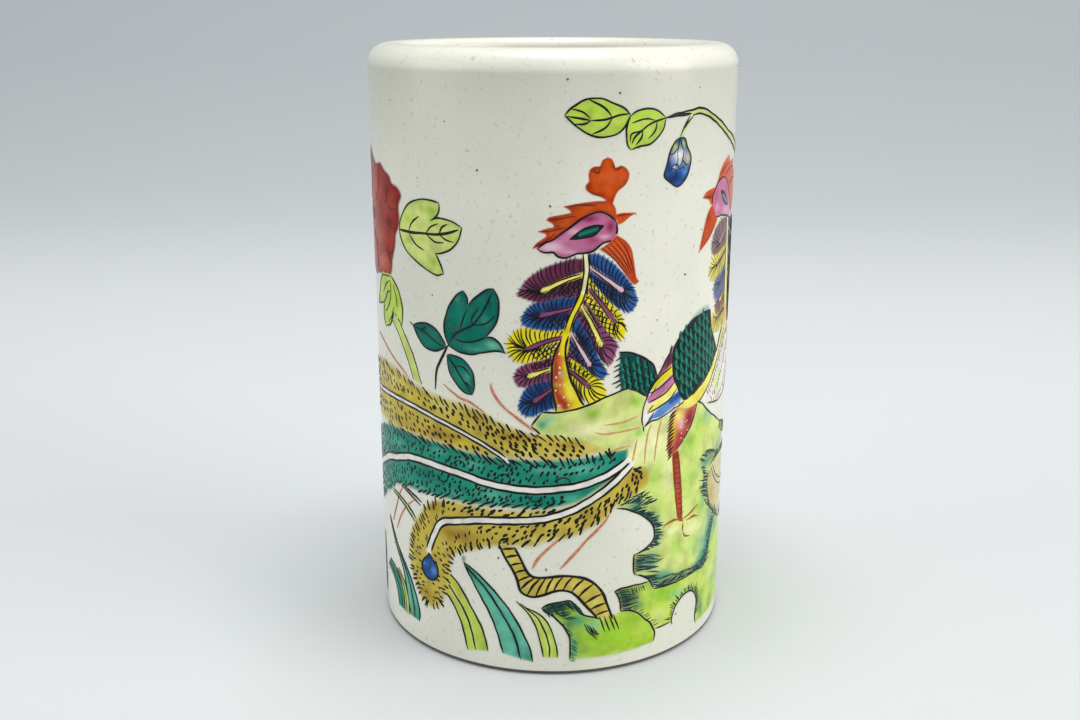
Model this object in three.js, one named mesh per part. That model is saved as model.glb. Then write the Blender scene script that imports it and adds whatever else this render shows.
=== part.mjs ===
// Porcelain brush pot: a straight cylinder with a rounded, turned-in rim, standing on a recessed foot.
// A real pot of this kind is a thrown tube with its base luted in, glazed and fired, and then enamelled.
// Millimetres, +Z up. The origin is the middle of the foot, and the picture's middle faces -Y.
import * as THREE from "three";

// Driving sizes.
const bodyDiameter = 75;
const bodyHeight = 123;
const wallThickness = 6.5;
const shoulderRadius = 4; // outer rounding from the wall into the rim
const lipRadius = 2.2; // inner rounding from the rim into the mouth
const rimOverhang = 1.2; // how far the rim is turned in past the inner wall
const rimDepth = 7; // height of the turned-in rim, from its top to the inner wall
const footRingWidth = 8.5;
const footRecess = 3; // how far the base stands above the table
const footChamfer = 0.8;
const baseThickness = 5;
const lutingGap = 0.3; // between the base disc and the wall round it

// Fineness of the round shapes.
const roundSides = 128;
const archSteps = 8;

const outerRadius = bodyDiameter / 2;
const innerRadius = outerRadius - wallThickness;
const mouthRadius = innerRadius - rimOverhang;
const footInnerRadius = outerRadius - footRingWidth;

// Points of a quarter round, about a centre, from one angle to another in degrees.
function arc(centreR, centreZ, radius, fromDeg, toDeg) {
  const points = [];
  for (let i = 0; i <= archSteps; i++) {
    const angle = THREE.MathUtils.degToRad(fromDeg + ((toDeg - fromDeg) * i) / archSteps);
    points.push(new THREE.Vector2(centreR + radius * Math.cos(angle), centreZ + radius * Math.sin(angle)));
  }
  return points;
}

// A ring or disc turned about +Z from a closed outline given as radius and height.
function turned(outline) {
  const geometry = new THREE.LatheGeometry(outline, roundSides);
  geometry.rotateX(Math.PI / 2);
  return geometry;
}

// The thrown tube: foot ring, straight wall, rounded shoulder and turned-in lip.
function wallOutline() {
  return [
    new THREE.Vector2(footInnerRadius, 0),
    new THREE.Vector2(outerRadius - footChamfer, 0),
    new THREE.Vector2(outerRadius, footChamfer),
    ...arc(outerRadius - shoulderRadius, bodyHeight - shoulderRadius, shoulderRadius, 0, 90),
    ...arc(mouthRadius + lipRadius, bodyHeight - lipRadius, lipRadius, 90, 180),
    new THREE.Vector2(mouthRadius, bodyHeight - rimDepth + rimOverhang),
    new THREE.Vector2(innerRadius, bodyHeight - rimDepth),
    new THREE.Vector2(innerRadius, footRecess),
    new THREE.Vector2(footInnerRadius, footRecess),
    new THREE.Vector2(footInnerRadius, 0),
  ];
}

// The base: a disc that rests on the foot ring's ledge inside the wall.
function baseOutline() {
  const radius = innerRadius - lutingGap;
  return [
    new THREE.Vector2(0, footRecess),
    new THREE.Vector2(radius, footRecess),
    new THREE.Vector2(radius, footRecess + baseThickness),
    new THREE.Vector2(0, footRecess + baseThickness),
  ];
}

function piece(name, geometry, colour, roughness) {
  const material = new THREE.MeshStandardMaterial({ color: colour, roughness, metalness: 0 });
  const mesh = new THREE.Mesh(geometry, material);
  mesh.name = name;
  return mesh;
}

const glazeColour = 0xe6e4da;

const brushPot = new THREE.Group();
brushPot.add(piece("wall", turned(wallOutline()), glazeColour, 0.15));
brushPot.add(piece("base", turned(baseOutline()), glazeColour, 0.2));

export default brushPot;
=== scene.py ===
# A porcelain brush pot with two crested birds on a garden rock, in raised enamels on a grey-white glaze.
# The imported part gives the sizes. The picture is drawn flat and in millimetres, as (round, up): round
# goes along the wall from the middle of the front, to the right, and up starts at the table.
import math

import bpy
import numpy as np
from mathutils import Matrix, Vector


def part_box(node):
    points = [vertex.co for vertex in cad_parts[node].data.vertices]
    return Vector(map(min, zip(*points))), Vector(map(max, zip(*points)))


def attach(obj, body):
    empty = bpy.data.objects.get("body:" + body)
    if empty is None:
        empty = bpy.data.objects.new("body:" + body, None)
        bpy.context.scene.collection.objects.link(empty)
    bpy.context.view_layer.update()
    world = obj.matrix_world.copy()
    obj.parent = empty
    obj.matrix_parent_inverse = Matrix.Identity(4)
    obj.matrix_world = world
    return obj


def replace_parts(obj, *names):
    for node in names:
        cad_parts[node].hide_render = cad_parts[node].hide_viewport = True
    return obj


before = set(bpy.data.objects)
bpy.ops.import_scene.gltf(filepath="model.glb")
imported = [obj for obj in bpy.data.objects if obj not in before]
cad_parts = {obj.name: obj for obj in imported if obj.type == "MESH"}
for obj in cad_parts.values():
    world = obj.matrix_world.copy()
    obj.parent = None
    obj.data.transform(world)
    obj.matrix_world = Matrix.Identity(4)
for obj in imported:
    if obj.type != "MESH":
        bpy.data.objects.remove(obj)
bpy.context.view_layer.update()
mm = 0.001
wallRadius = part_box("wall")[1].x / mm
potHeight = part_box("wall")[1].z / mm
rng = np.random.default_rng(7)

glaze = {
    "pale": (227, 226, 212),
    "grey": (211, 211, 196),
    "speck": (84, 78, 68),
    # the colour of the foot below the glaze line: a dark band where the pot meets the table
    "darkFoot": (84, 80, 72),
    # the grey painted on the wall just under the rim as its shadow
    "thinAndShade": (176, 176, 162),
    "speckShare": 0.94,
    "roughness": 0.22,
    "shine": 0.36,
}
enamel = {
    "blackTeal": (4, 34, 36),
    "lime": (162, 200, 58),
    "leafGreen": (142, 202, 44),
    "midLime": (184, 209, 84),
    "paleLime": (208, 219, 128),
    "cream": (236, 236, 180),
    "emerald": (2, 114, 96),
    "deepTeal": (2, 74, 74),
    "teal": (26, 140, 116),
    "paleTeal": (100, 186, 160),
    "ochre": (195, 175, 70),
    "paleOchre": (218, 206, 118),
    "darkOchre": (152, 108, 26),
    "orange": (206, 80, 16),
    "darkOrange": (148, 40, 4),
    "pink": (190, 112, 150),
    "magenta": (134, 24, 80),
    "palePink": (224, 188, 200),
    "plum": (110, 44, 76),
    "mauve": (140, 70, 110),
    "yellow": (230, 214, 26),
    "paleYellow": (236, 226, 112),
    "blue": (36, 88, 154),
    "darkBlue": (8, 32, 86),
    "paleBlue": (92, 138, 200),
    "red": (156, 34, 12),
    "darkRed": (100, 20, 10),
    "coral": (200, 96, 62),
    "brick": (158, 52, 24),
    "white": (230, 229, 219),
    "beige": (198, 184, 138),
}
inkColours = {
    "ink": ((10, 11, 13), (30, 26, 24)),
    "speck": ((84, 72, 58), (118, 106, 88)),
    "tealInk": ((8, 40, 44), (22, 80, 76)),
    "scale": ((4, 96, 80), (34, 134, 112)),
    "ironRed": ((188, 112, 76), (212, 150, 116)),
    "tan": ((190, 146, 88), (208, 168, 112)),
    "brown": ((140, 76, 36), (168, 108, 66)),
    "deepRed": ((92, 20, 6), (128, 36, 14)),
    "dots": ((240, 196, 160), (248, 228, 200)),
}
heights = {  # above the glaze, in mm
    "foot": 0.01,
    "level": 0.0025,  # added for each enamel that lies under this one
    "body": 0.045,
    "sunk": -0.03,
    "under": -0.12,
    "lineMiddle": 0.085,
    "lineHalf": 0.04,
    "lineDepth": 0.14,
}
penShare = 0.85  # of the width that a line is given


def linear(colour):  # an 8-bit colour as a shader takes it
    out = []
    for value in colour:
        c = value / 255
        out.append(c / 12.92 if c <= 0.04045 else ((c + 0.055) / 1.055) ** 2.4)
    return (*out, 1.0)


# Flat drawing.
def run(points, spacing=0.4):  # a smooth line through the points
    p = np.array(points, float)
    if len(p) < 3:
        count = max(3, int(np.linalg.norm(p[-1] - p[0]) / spacing) + 1)
        return p[0] + (p[-1] - p[0]) * np.linspace(0, 1, count)[:, None]
    ends = np.vstack([2 * p[0] - p[1], p, 2 * p[-1] - p[-2]])
    out = []
    for a, b, c, d in zip(ends, ends[1:], ends[2:], ends[3:]):
        t = np.linspace(0, 1, max(2, int(np.linalg.norm(c - b) / spacing) + 1), endpoint=False)[:, None]
        cubic = (2 * a - 5 * b + 4 * c - d) * t**2 + (3 * b - a - 3 * c + d) * t**3
        out.append(b + 0.5 * ((c - a) * t + cubic))
    return np.vstack([*out, p[-1:]])


def outline(runs):  # one closed outline from smooth lines that meet at corners
    return np.vstack([run(r, 0.7) for r in runs])


def at(path, share):  # the place that lies at a share of a path's length
    steps = np.concatenate([[0], np.cumsum(np.linalg.norm(np.diff(path, axis=0), axis=1))])
    where = share * steps[-1]
    return np.array([np.interp(where, steps, path[:, 0]), np.interp(where, steps, path[:, 1])])


def lengthOf(path):
    return float(np.linalg.norm(np.diff(path, axis=0), axis=1).sum())


def sidesOf(path, half):  # the two lines that run beside a path
    way = np.gradient(path, axis=0)
    side = np.stack([-way[:, 1], way[:, 0]], -1) / np.maximum(np.linalg.norm(way, axis=1), 1e-9)[:, None]
    reach = np.broadcast_to(half, len(path))[:, None]
    return path + side * reach, path - side * reach


def farFrom(path, where):  # distance from a path, and how far along it the nearest place is
    nearest = np.full(len(where), 1e9)
    along = np.zeros(len(where))
    for i, (p, q) in enumerate(zip(path, path[1:])):
        d = q - p
        t = np.clip(((where - p) @ d) / max(d @ d, 1e-12), 0, 1)
        far = np.linalg.norm(where - p - t[:, None] * d, axis=1)
        along = np.where(far < nearest, (i + t) / (len(path) - 1), along)
        nearest = np.minimum(nearest, far)
    return nearest, along


def depthIn(edge, where):  # how far inside a closed outline each place is, negative outside
    closed = np.vstack([edge, edge[:1]])
    nearest, _ = farFrom(closed, where)
    inside = np.zeros(len(where), bool)
    for p, q in zip(closed, closed[1:]):
        if p[1] != q[1]:
            cross = (p[1] > where[:, 1]) != (q[1] > where[:, 1])
            inside ^= cross & (where[:, 0] < p[0] + (where[:, 1] - p[1]) * (q[0] - p[0]) / (q[1] - p[1]))
    return np.where(inside, nearest, -nearest)


def ramp(depth, soft):
    share = np.clip((depth + soft) / (2 * soft), 0, 1)
    return share * share * (3 - 2 * share)


def turned(angle):  # a direction on the flat wall, in degrees from the right
    return np.array([math.cos(math.radians(angle)), math.sin(math.radians(angle))])


picture = []


class Motif:  # one thing in the picture: layers of enamel, and lines over them
    def __init__(self, piece, step=0.3):
        self.piece = piece
        self.step = step
        self.layers = []
        self.strokes = {}
        picture.append(self)

    # A layer with no "within" lays new enamel. One within "own" or "last" only tints what the motif has
    # laid so far, or its last area.
    def layer(self, colour, low, high, share, within=None):
        self.layers.append((colour, np.array(low), np.array(high), share, within))

    def area(self, colour, *runs, soft=0.25, strength=1.0, rim=None):  # its rim is a colour, a width and a strength
        edge = outline(runs)

        def share(where):
            return ramp(depthIn(edge, where), soft) * strength

        def gathered(where):
            return np.exp(-((depthIn(edge, where) / rim[1]) ** 2)) * rim[2]

        self.layer(colour, edge.min(0) - soft, edge.max(0) + soft, share)
        if rim:
            self.layer(rim[0], edge.min(0) - soft, edge.max(0) + soft, gathered, "last")

    def band(self, colour, points, width, soft=0.15, strength=1.0, narrow=0.0, within=None):
        path = run(points)
        reach = width / 2 * max(1, 1 - narrow) + soft

        def share(where):
            far, along = farFrom(path, where)
            return ramp(width / 2 * (1 - narrow * along) - far, soft) * strength

        self.layer(colour, path.min(0) - reach, path.max(0) + reach, share, within)

    def pool(self, colour, x, y, wide, high=None, strength=0.8, within="own"):  # a soft patch of another colour
        size = np.array([wide, high or wide])
        middle = np.array([x, y])

        def share(where):
            return np.exp(-2 * (((where - middle) / size) ** 2).sum(1)) * strength

        self.layer(colour, middle - 1.5 * size, middle + 1.5 * size, share, within)

    def pools(self, *patches, within="own"):
        for patch in patches:
            self.pool(*patch, within)

    def line(self, points, width=0.42, ink="ink", taper=1.2, wobble=0.03):
        path = run(points)
        length = lengthOf(path)
        share = np.linspace(0, 1, len(path))
        fromEnd = np.minimum(share, 1 - share) * length
        press = np.clip(fromEnd / min(taper, max(length * 0.45, 0.1)), 0, 1) ** 0.6 * 0.8 + 0.2
        phase, pace = rng.uniform(0, 6.28, 2), rng.uniform(0.5, 1.1, 2)
        press *= 1 + 0.13 * np.sin(share * length * pace[0] + phase[0])
        path, _ = sidesOf(path, wobble * np.sin(share * length * pace[1] * 2 + phase[1]))
        self.strokes.setdefault(ink, []).append((path, press * width * penShare / 2))

    def lines(self, *runs, **how):
        for points in runs:
            self.line(points, **how)

    def dab(self, place, angle, length, width, ink="ink"):  # a short touch of the brush
        along = np.array([-0.5, -0.32, 0, 0.3, 0.5])[:, None] * turned(angle) * length
        bend = turned(angle + 90) * length * rng.uniform(-0.1, 0.1) * np.array([0, 0.7, 1, 0.7, 0])[:, None]
        self.strokes.setdefault(ink, []).append((place + along + bend, np.array([0.5, 0.95, 1, 0.8, 0.25]) * width / 2))

    def hatch(self, edge, angle, length, gap=0.55, width=0.34, ink="tealInk", spread=9):
        path = run(edge)
        for share in np.arange(0.0, 1.0, gap / lengthOf(path)):
            way = (angle(share) if callable(angle) else angle) + rng.uniform(-spread, spread)
            reach = length * rng.uniform(0.5, 1.15)
            root = at(path, min(1, share + rng.uniform(0, 0.3) * gap / lengthOf(path)))
            bend = turned(way + 90) * reach * rng.uniform(-0.06, 0.06)
            self.line([root, root + turned(way) * reach / 2 + bend, root + turned(way) * reach], width, ink, taper=reach)

    def fill(self, runs, angle, gap, width=0.26, ink="ink", clear=()):  # straight lines across an area
        edge = outline(runs)
        middle = edge.mean(0)
        reach = np.linalg.norm(edge - middle, axis=1).max()
        way, side = turned(angle), turned(angle + 90)
        along = np.arange(-reach, reach, 0.25)
        for k in np.arange(-reach, reach, gap):
            places = middle + side * (k + rng.uniform(-0.08, 0.08)) + along[:, None] * way
            inside = depthIn(edge, places) > 0.05
            for path, half in clear:
                inside &= farFrom(path, places)[0] > half
            for part in np.split(np.arange(len(places)), np.where(np.diff(inside))[0] + 1):
                if inside[part[0]] and len(part) > 3:
                    self.line([places[part[0]], places[part[-1]]], width, ink, taper=0.6)

    def rows(self, lower, upper, rows, gap, quill, clear=1.1, keep=(0, 1)):
        # touches of black in rows between two edges; a row is share across, slant, length and width
        a, b, middle = run(lower), run(upper), run(quill)
        long = (lengthOf(a) + lengthOf(b)) / 2
        for across, slant, length, width in rows:
            for share in np.arange(keep[0], keep[1], gap / long):
                u = np.clip(share + rng.uniform(-0.3, 0.3) * gap / long, 0, 0.99)
                t = across + rng.uniform(-0.05, 0.05)
                here = at(a, u) * (1 - t) + at(b, u) * t
                ahead = at(a, u + 0.01) * (1 - t) + at(b, u + 0.01) * t
                if farFrom(middle, here[None])[0][0] > clear + 0.2 * length:
                    way = math.degrees(math.atan2(ahead[1] - here[1], ahead[0] - here[0]))
                    length2 = length * rng.uniform(0.75, 1.25)
                    self.dab(here, way + slant + rng.uniform(-12, 12), length2, width * rng.uniform(0.8, 1.2))

    def plume(self, quill, half, narrow=0.0, width=0.42):  # a white quill between two black lines
        path = run(quill)
        self.band("white", quill, 2 * half, soft=0.12, narrow=narrow)
        for side in sidesOf(path, half * (1 - narrow * np.linspace(0, 1, len(path)))):
            self.line(side[::4], width)


def feather(piece, colour, ribColour, rib, rim, barbs, fan=0.36, ribWidth=1.0, cross=(), pools=(), strength=1.0, pen=0.33):
    # one lobe of a neck: a fan of fine black barbs about a midrib, over a colour
    lobe = Motif(piece, step=0.2)
    deeper = {"blue": "darkBlue", "mauve": "plum", "plum": "blackTeal"}.get(colour)
    lobe.area(colour, *rim, [rim[-1][-1], rim[0][0]], soft=0.3, strength=strength)
    if deeper and strength == 1:
        lobe.band(deeper, rib, 2.4, soft=1.2, strength=0.55, within="own")
    lobe.pools(*pools)
    ribPath, rimPath = run(rib), np.vstack([run(r) for r in rim])
    barbs = round(barbs * 0.9)
    for i in range(barbs):
        b = (i + rng.uniform(0.3, 0.7)) / barbs
        a = min(1, min(b, 1 - b) / fan) ** 0.9
        root, tip = at(ribPath, a), at(rimPath, b)
        far = max(np.linalg.norm(tip - root), 0.5)
        way = (tip - root) / far
        tip = tip + way * rng.uniform(0.07, 0.45)
        root = root + way * ribWidth * 0.45
        bow = np.array([-way[1], way[0]]) * far * (0.10 if b < 0.5 else -0.10)
        lobe.line([root, (root + tip) / 2 + bow, tip], pen, taper=1.4)
    for area, angles, gap in cross:
        for angle in angles:
            lobe.fill(area, angle, gap, clear=[(ribPath, ribWidth / 2)])
    lobe.band(ribColour, rib, ribWidth * 0.95, soft=0.12)
    above, below = sidesOf(ribPath, ribWidth / 2 * np.linspace(0.5, 1, len(ribPath)))
    end = ribPath[-1] + (ribPath[-1] - ribPath[-3])
    lobe.lines(above[::3], below[::3], [above[-1], end, below[-1]], width=0.3)


# The picture: what lies behind comes first.
def strayPlumes():
    sprays = Motif("stray_plumes")
    sprays.lines(
        [(4.3, 31.8), (3, 31.3), (-0.5, 28), (-2.4, 26), (-3.8, 23.5)],
        [(11.5, 34.6), (10.3, 32.7), (7.4, 29.9), (4.3, 26.4), (1.7, 23.5)],
        [(-11.9, 61.3), (-11, 58.9), (-8.8, 56.4), (-6.3, 54.6), (-3.4, 52.3)],
        width=0.6, ink="ironRed", taper=1.4,
    )
    sprays.lines(
        [(-22.3, 59.7), (-18.8, 57.7), (-15.7, 56.8), (-12.6, 54.9)],
        [(-47.3, 65), (-43.3, 63.7), (-39, 62), (-35, 60.3), (-32.3, 59)],
        [(-35.7, 34.7), (-37.7, 32.3), (-40, 28), (-41.7, 24.7)],
        [(-31.7, 32.8), (-35, 30.3), (-37.7, 27), (-39.7, 23.7)],
        [(-54, 30), (-57, 27), (-60, 23), (-62, 19)],
        width=0.5, ink="ironRed", taper=3.0,
    )


def firstBirdBody():
    body = Motif("first_bird_body", step=0.25)
    top = [(12.9, 67.5), (15.8, 66.9), (18.5, 65.5), (20.4, 64), (21.5, 61.5)]
    right = [(21.5, 61.5), (20.5, 60), (19, 57.5)]
    left = [(13.3, 58.6), (13.3, 61), (12.9, 62.9), (13.1, 65.5), (12.9, 67.5)]
    shape = [top, right, [(19, 57.5), (13.3, 58.6)], left]
    body.area("deepTeal", *shape, soft=0.15)
    body.pool("blackTeal", 17, 62, 5, strength=0.55)
    body.lines(top, right, width=0.5)
    for row in range(5):
        for k in range(7):
            place = np.array([13.4 + k * 1.25 + 0.35 * row, 66.3 - row * 1.9 - (k % 2) * 0.9])
            if depthIn(outline(shape), place[None])[0] > 0.7:
                body.line([place + (-0.35, 0.9), place + (-0.3, -0.3), place + (0.3, -0.9)], 0.8, "scale", taper=0.7)
                body.line([place + (0.25, 1.0), place + (0.3, -0.2), place + (0.75, -0.9)], 0.34, "ink", taper=0.6)
    for y, tip in ((66.3, 12.2), (65, 11.9), (64.2, 11.8), (63, 12), (61.8, 11.6), (60.9, 12.3)):
        body.line([(14.2, y + 0.3), (13.2, y), (tip, y - 0.6)], 0.45, "tealInk", taper=1.2)


def firstBirdNeck():
    under = Motif("first_bird_neck", step=0.25)
    shape = [[(5.6, 85), (1.5, 81), (-1, 77), (-2, 71), (-1.8, 66), (-1, 60), (1, 57)], [(1, 57), (6, 58.4)],
             [(6, 58.4), (8, 63), (9, 69), (10.5, 75), (9.4, 80), (6.6, 85), (5.6, 85)]]
    under.area("mauve", *shape, soft=0.4)
    under.pools(("darkBlue", 1, 74, 3, 3, 0.9), ("darkBlue", 5.5, 67, 3, 4, 0.8), ("ochre", 7, 78, 2, 2, 0.7), ("plum", 2, 79, 3, 2, 0.6))
    for angle in (48, 128):
        under.fill(shape, angle, 0.75)
    feather("first_bird_neck", "blue", "mauve", [(0.1, 60.8), (-1.4, 59.7), (-3.1, 58.3)],
            [[(-0.2, 63), (-1.5, 63.4), (-4, 61.8), (-5.6, 59.8), (-6.5, 57.1)],
             [(-6.5, 57.1), (-5.7, 55.6), (-4, 55.1), (-2, 56), (0.6, 57)]], 20, pools=[("darkBlue", -1.5, 59.5, 4, 4, 0.8)])
    feather("first_bird_neck", "mauve", "paleYellow", [(-0.2, 64.7), (-2, 64.1), (-4.2, 63.2)],
            [[(0.4, 67.4), (-1, 66.6), (-4, 66), (-6.5, 64.6), (-7.3, 62.6)],
             [(-7.3, 62.6), (-6.6, 61.2), (-5, 61), (-2.5, 62), (0, 62.4)]], 20, pools=[("plum", -2, 65, 4, 2.5, 0.7)],
            cross=[([[(-4, 65.6), (0.2, 67), (0, 65), (-3, 64.5), (-4, 65.6)]], (40, 140), 0.8)])
    feather("first_bird_neck", "yellow", "mauve", [(1.6, 70.8), (-1.5, 69.9), (-4.5, 68.4)],
            [[(3, 72.4), (1, 72.3), (-2, 72.2), (-5, 72.7), (-7.5, 71.5), (-8.7, 69.3)],
             [(-8.7, 69.3), (-8, 67), (-6, 65.7), (-3, 66.2), (0.3, 67)]], 30, pools=[("paleYellow", 0, 69, 3, 2.5, 0.7)],
            cross=[([[(-4, 68), (1.3, 70.3), (0.3, 67), (-3, 66.4), (-4, 68)]], (35, 125), 0.8)])
    feather("first_bird_neck", "blue", "mauve", [(4.4, 76.6), (1.4, 75.9), (-1.9, 75)],
            [[(5.3, 79), (4, 78.4), (1, 78.5), (-2, 78), (-4.5, 76.5), (-5.9, 74.3)],
             [(-5.9, 74.3), (-5.2, 72.9), (-2, 72.2), (1, 72.2), (3, 73.2)]], 28, pools=[("darkBlue", 1, 75.5, 4, 3, 0.85)],
            cross=[([[(-3, 73.3), (3.8, 75.8), (3.2, 72.8), (0, 72.3), (-3, 73.3)]], (50, 130), 0.8)])
    feather("first_bird_neck", "plum", "paleYellow", [(5.6, 82.7), (2.2, 81.6), (-1.7, 79.7)],
            [[(5.8, 85.6), (4, 85.8), (1, 85), (-2, 83.8), (-5, 81.5), (-6.6, 78.7)],
             [(-6.6, 78.7), (-5, 78.1), (-2, 77.5), (2, 78.8), (5.5, 79.5)]], 32, pools=[("pink", -5.4, 80, 1.6, 1.6, 0.35)],
            cross=[([[(-2.5, 79), (2, 81), (5.5, 82.4), (5.6, 79.5), (2, 78.6), (-2.5, 78)]], (48, 128), 0.7)])
    feather("first_bird_neck", "yellow", "mauve", [(3.4, 64.3), (5, 63), (6.8, 61.3)],
            [[(3.2, 67), (6, 65), (9, 62.6), (10.6, 59.7)],
             [(10.6, 59.7), (9.8, 58.5), (7.5, 57.7), (6, 58.6), (3.6, 62.8)]], 20, fan=0.4,
            cross=[([[(3.2, 66.5), (8, 63.6), (6, 62.6), (3.4, 64.6), (3.2, 66.5)]], (88, 20), 0.8)])
    feather("first_bird_neck", "blue", "palePink", [(3.7, 71.4), (5.3, 68.6), (7.1, 65.4)],
            [[(4.4, 74.9), (6.4, 72), (8.6, 67.5), (10.8, 63.4)],
             [(10.8, 63.4), (9.5, 62.4), (7, 64), (4.5, 67), (3, 70.5)]], 24, pools=[("darkBlue", 5.5, 70, 3, 4, 0.8)],
            cross=[([[(3.6, 72.5), (7, 70.5), (8.5, 66), (6, 65), (3.2, 68.5), (3.6, 72.5)]], (60, 130), 0.75)])
    feather("first_bird_neck", "mauve", "paleYellow", [(5.5, 76.6), (7.5, 73), (9.2, 69.2)],
            [[(6.2, 78.4), (8.4, 74.8), (11, 71.2), (12.8, 68.8)],
             [(12.8, 68.8), (11.2, 65), (9, 67), (7.5, 70), (5, 75.6)]], 24, fan=0.42, ribWidth=1.15,
            cross=[([[(5.6, 77.4), (8.6, 74.5), (9, 70), (7, 70.5), (5, 75.5), (5.6, 77.4)]], (60, 120), 0.8)])
    feather("first_bird_neck", "yellow", "mauve", [(7.1, 79.7), (9.3, 77), (11.7, 73.7)],
            [[(6.6, 82), (8, 81.4), (11, 77.6), (13.3, 74.6), (14.4, 71.4)],
             [(14.4, 71.4), (13.4, 69.8), (11.5, 70.6), (9, 73.5), (6, 78.2)]], 26, pools=[("paleYellow", 9, 79, 3, 3, 0.7)],
            cross=[([[(6.5, 81.5), (8, 80.5), (13, 73.5), (12, 70.5), (9, 73), (6.2, 78), (6.5, 81.5)]], (84, 160), 0.85)])
    feather("first_bird_neck", "blue", "palePink", [(7.1, 83.9), (10, 81.8), (13.2, 79.4)],
            [[(6.4, 86.6), (8.5, 86.5), (11, 85), (13.5, 82.6), (15.5, 80), (16.7, 77.2)],
             [(16.7, 77.2), (15.9, 75.6), (14.4, 75), (11, 77.2), (7.2, 81.6)]], 32, pools=[("darkBlue", 11, 79.5, 4, 3, 0.5)],
            cross=[([[(7, 83), (13, 79), (13.8, 75.6), (11, 77.4), (7.2, 81.4), (7, 83)]], (88, 150), 0.85)])
    left = [(1.8, 70.5), (0.8, 68.4), (0.2, 66.4), (0, 64), (0.1, 61), (0.5, 58.7), (0.9, 56.2)]
    right = [(6.4, 57.2), (5.5, 58.4), (4.6, 60.2), (3.7, 62.2), (3, 64.6), (2.6, 66.9), (2.6, 69.3), (3.1, 71.1)]
    quill = [(6.1, 86.9), (6.35, 84), (6.2, 82.2), (5.8, 79.6), (4.6, 76.6), (3.6, 74.6), (2.7, 71.6)]
    front = Motif("first_bird_neck", step=0.2)
    front.area("yellow", left, [left[-1], right[0]], right, [right[-1], left[0]], soft=0.12)
    front.band("coral", [(1.6, 69.5), (1.1, 66), (1.2, 62), (1.8, 58)], 2.2, soft=0.6, strength=0.85, within="own")
    front.band("red", [(0.9, 68), (0.7, 64), (0.9, 60), (2.6, 57)], 1.0, soft=0.4, strength=0.8, within="own")
    front.pools(("red", 2.6, 57.8, 2.2, 1.6, 0.9), ("paleYellow", 3.6, 60, 1, 3, 0.4), ("coral", 1.4, 66.4, 0.8, 0.8, 0.8), ("palePink", 1.9, 63.6, 0.6, 0.8, 0.6),
                ("ochre", 0.9, 61.6, 0.6, 0.8, 0.7), ("magenta", 1.6, 59.4, 0.7, 0.6, 0.5), ("paleYellow", 2.4, 61.6, 0.6, 0.6, 0.7), ("palePink", 1.5, 57.4, 0.6, 0.5, 0.5))
    front.band("cream", quill, 0.85, soft=0.12)
    front.band("yellow", [(5.6, 78.6), (4.6, 76.6), (3.6, 74.6), (2.7, 71.2), (2.2, 68)], 1.0, soft=0.2, narrow=-0.6)
    front.lines(left, right[::-1], width=0.5)
    for side in sidesOf(run(quill), 0.48):
        front.line(side[::3], 0.34)
    for x, y in ((1, 67.6), (1.3, 65.2), (0.8, 63.3), (1.9, 61.8), (1.1, 60.2), (2.3, 59), (1.7, 57.4), (3.2, 57.9), (1.6, 63.9)):
        front.dab(rng.uniform(-0.4, 0.4, 2) + (x, y), rng.uniform(0, 180), rng.uniform(0.3, 0.5), 0.32, "dots")
    front.lines([(0.8, 56), (0.1, 55.1), (-0.7, 54)], [(0.9, 56), (1.2, 55.2), (1.6, 54.6)], [(0.6, 56), (0.3, 55), (0.2, 54.2)],
                width=0.4, ink="brown")


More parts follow.
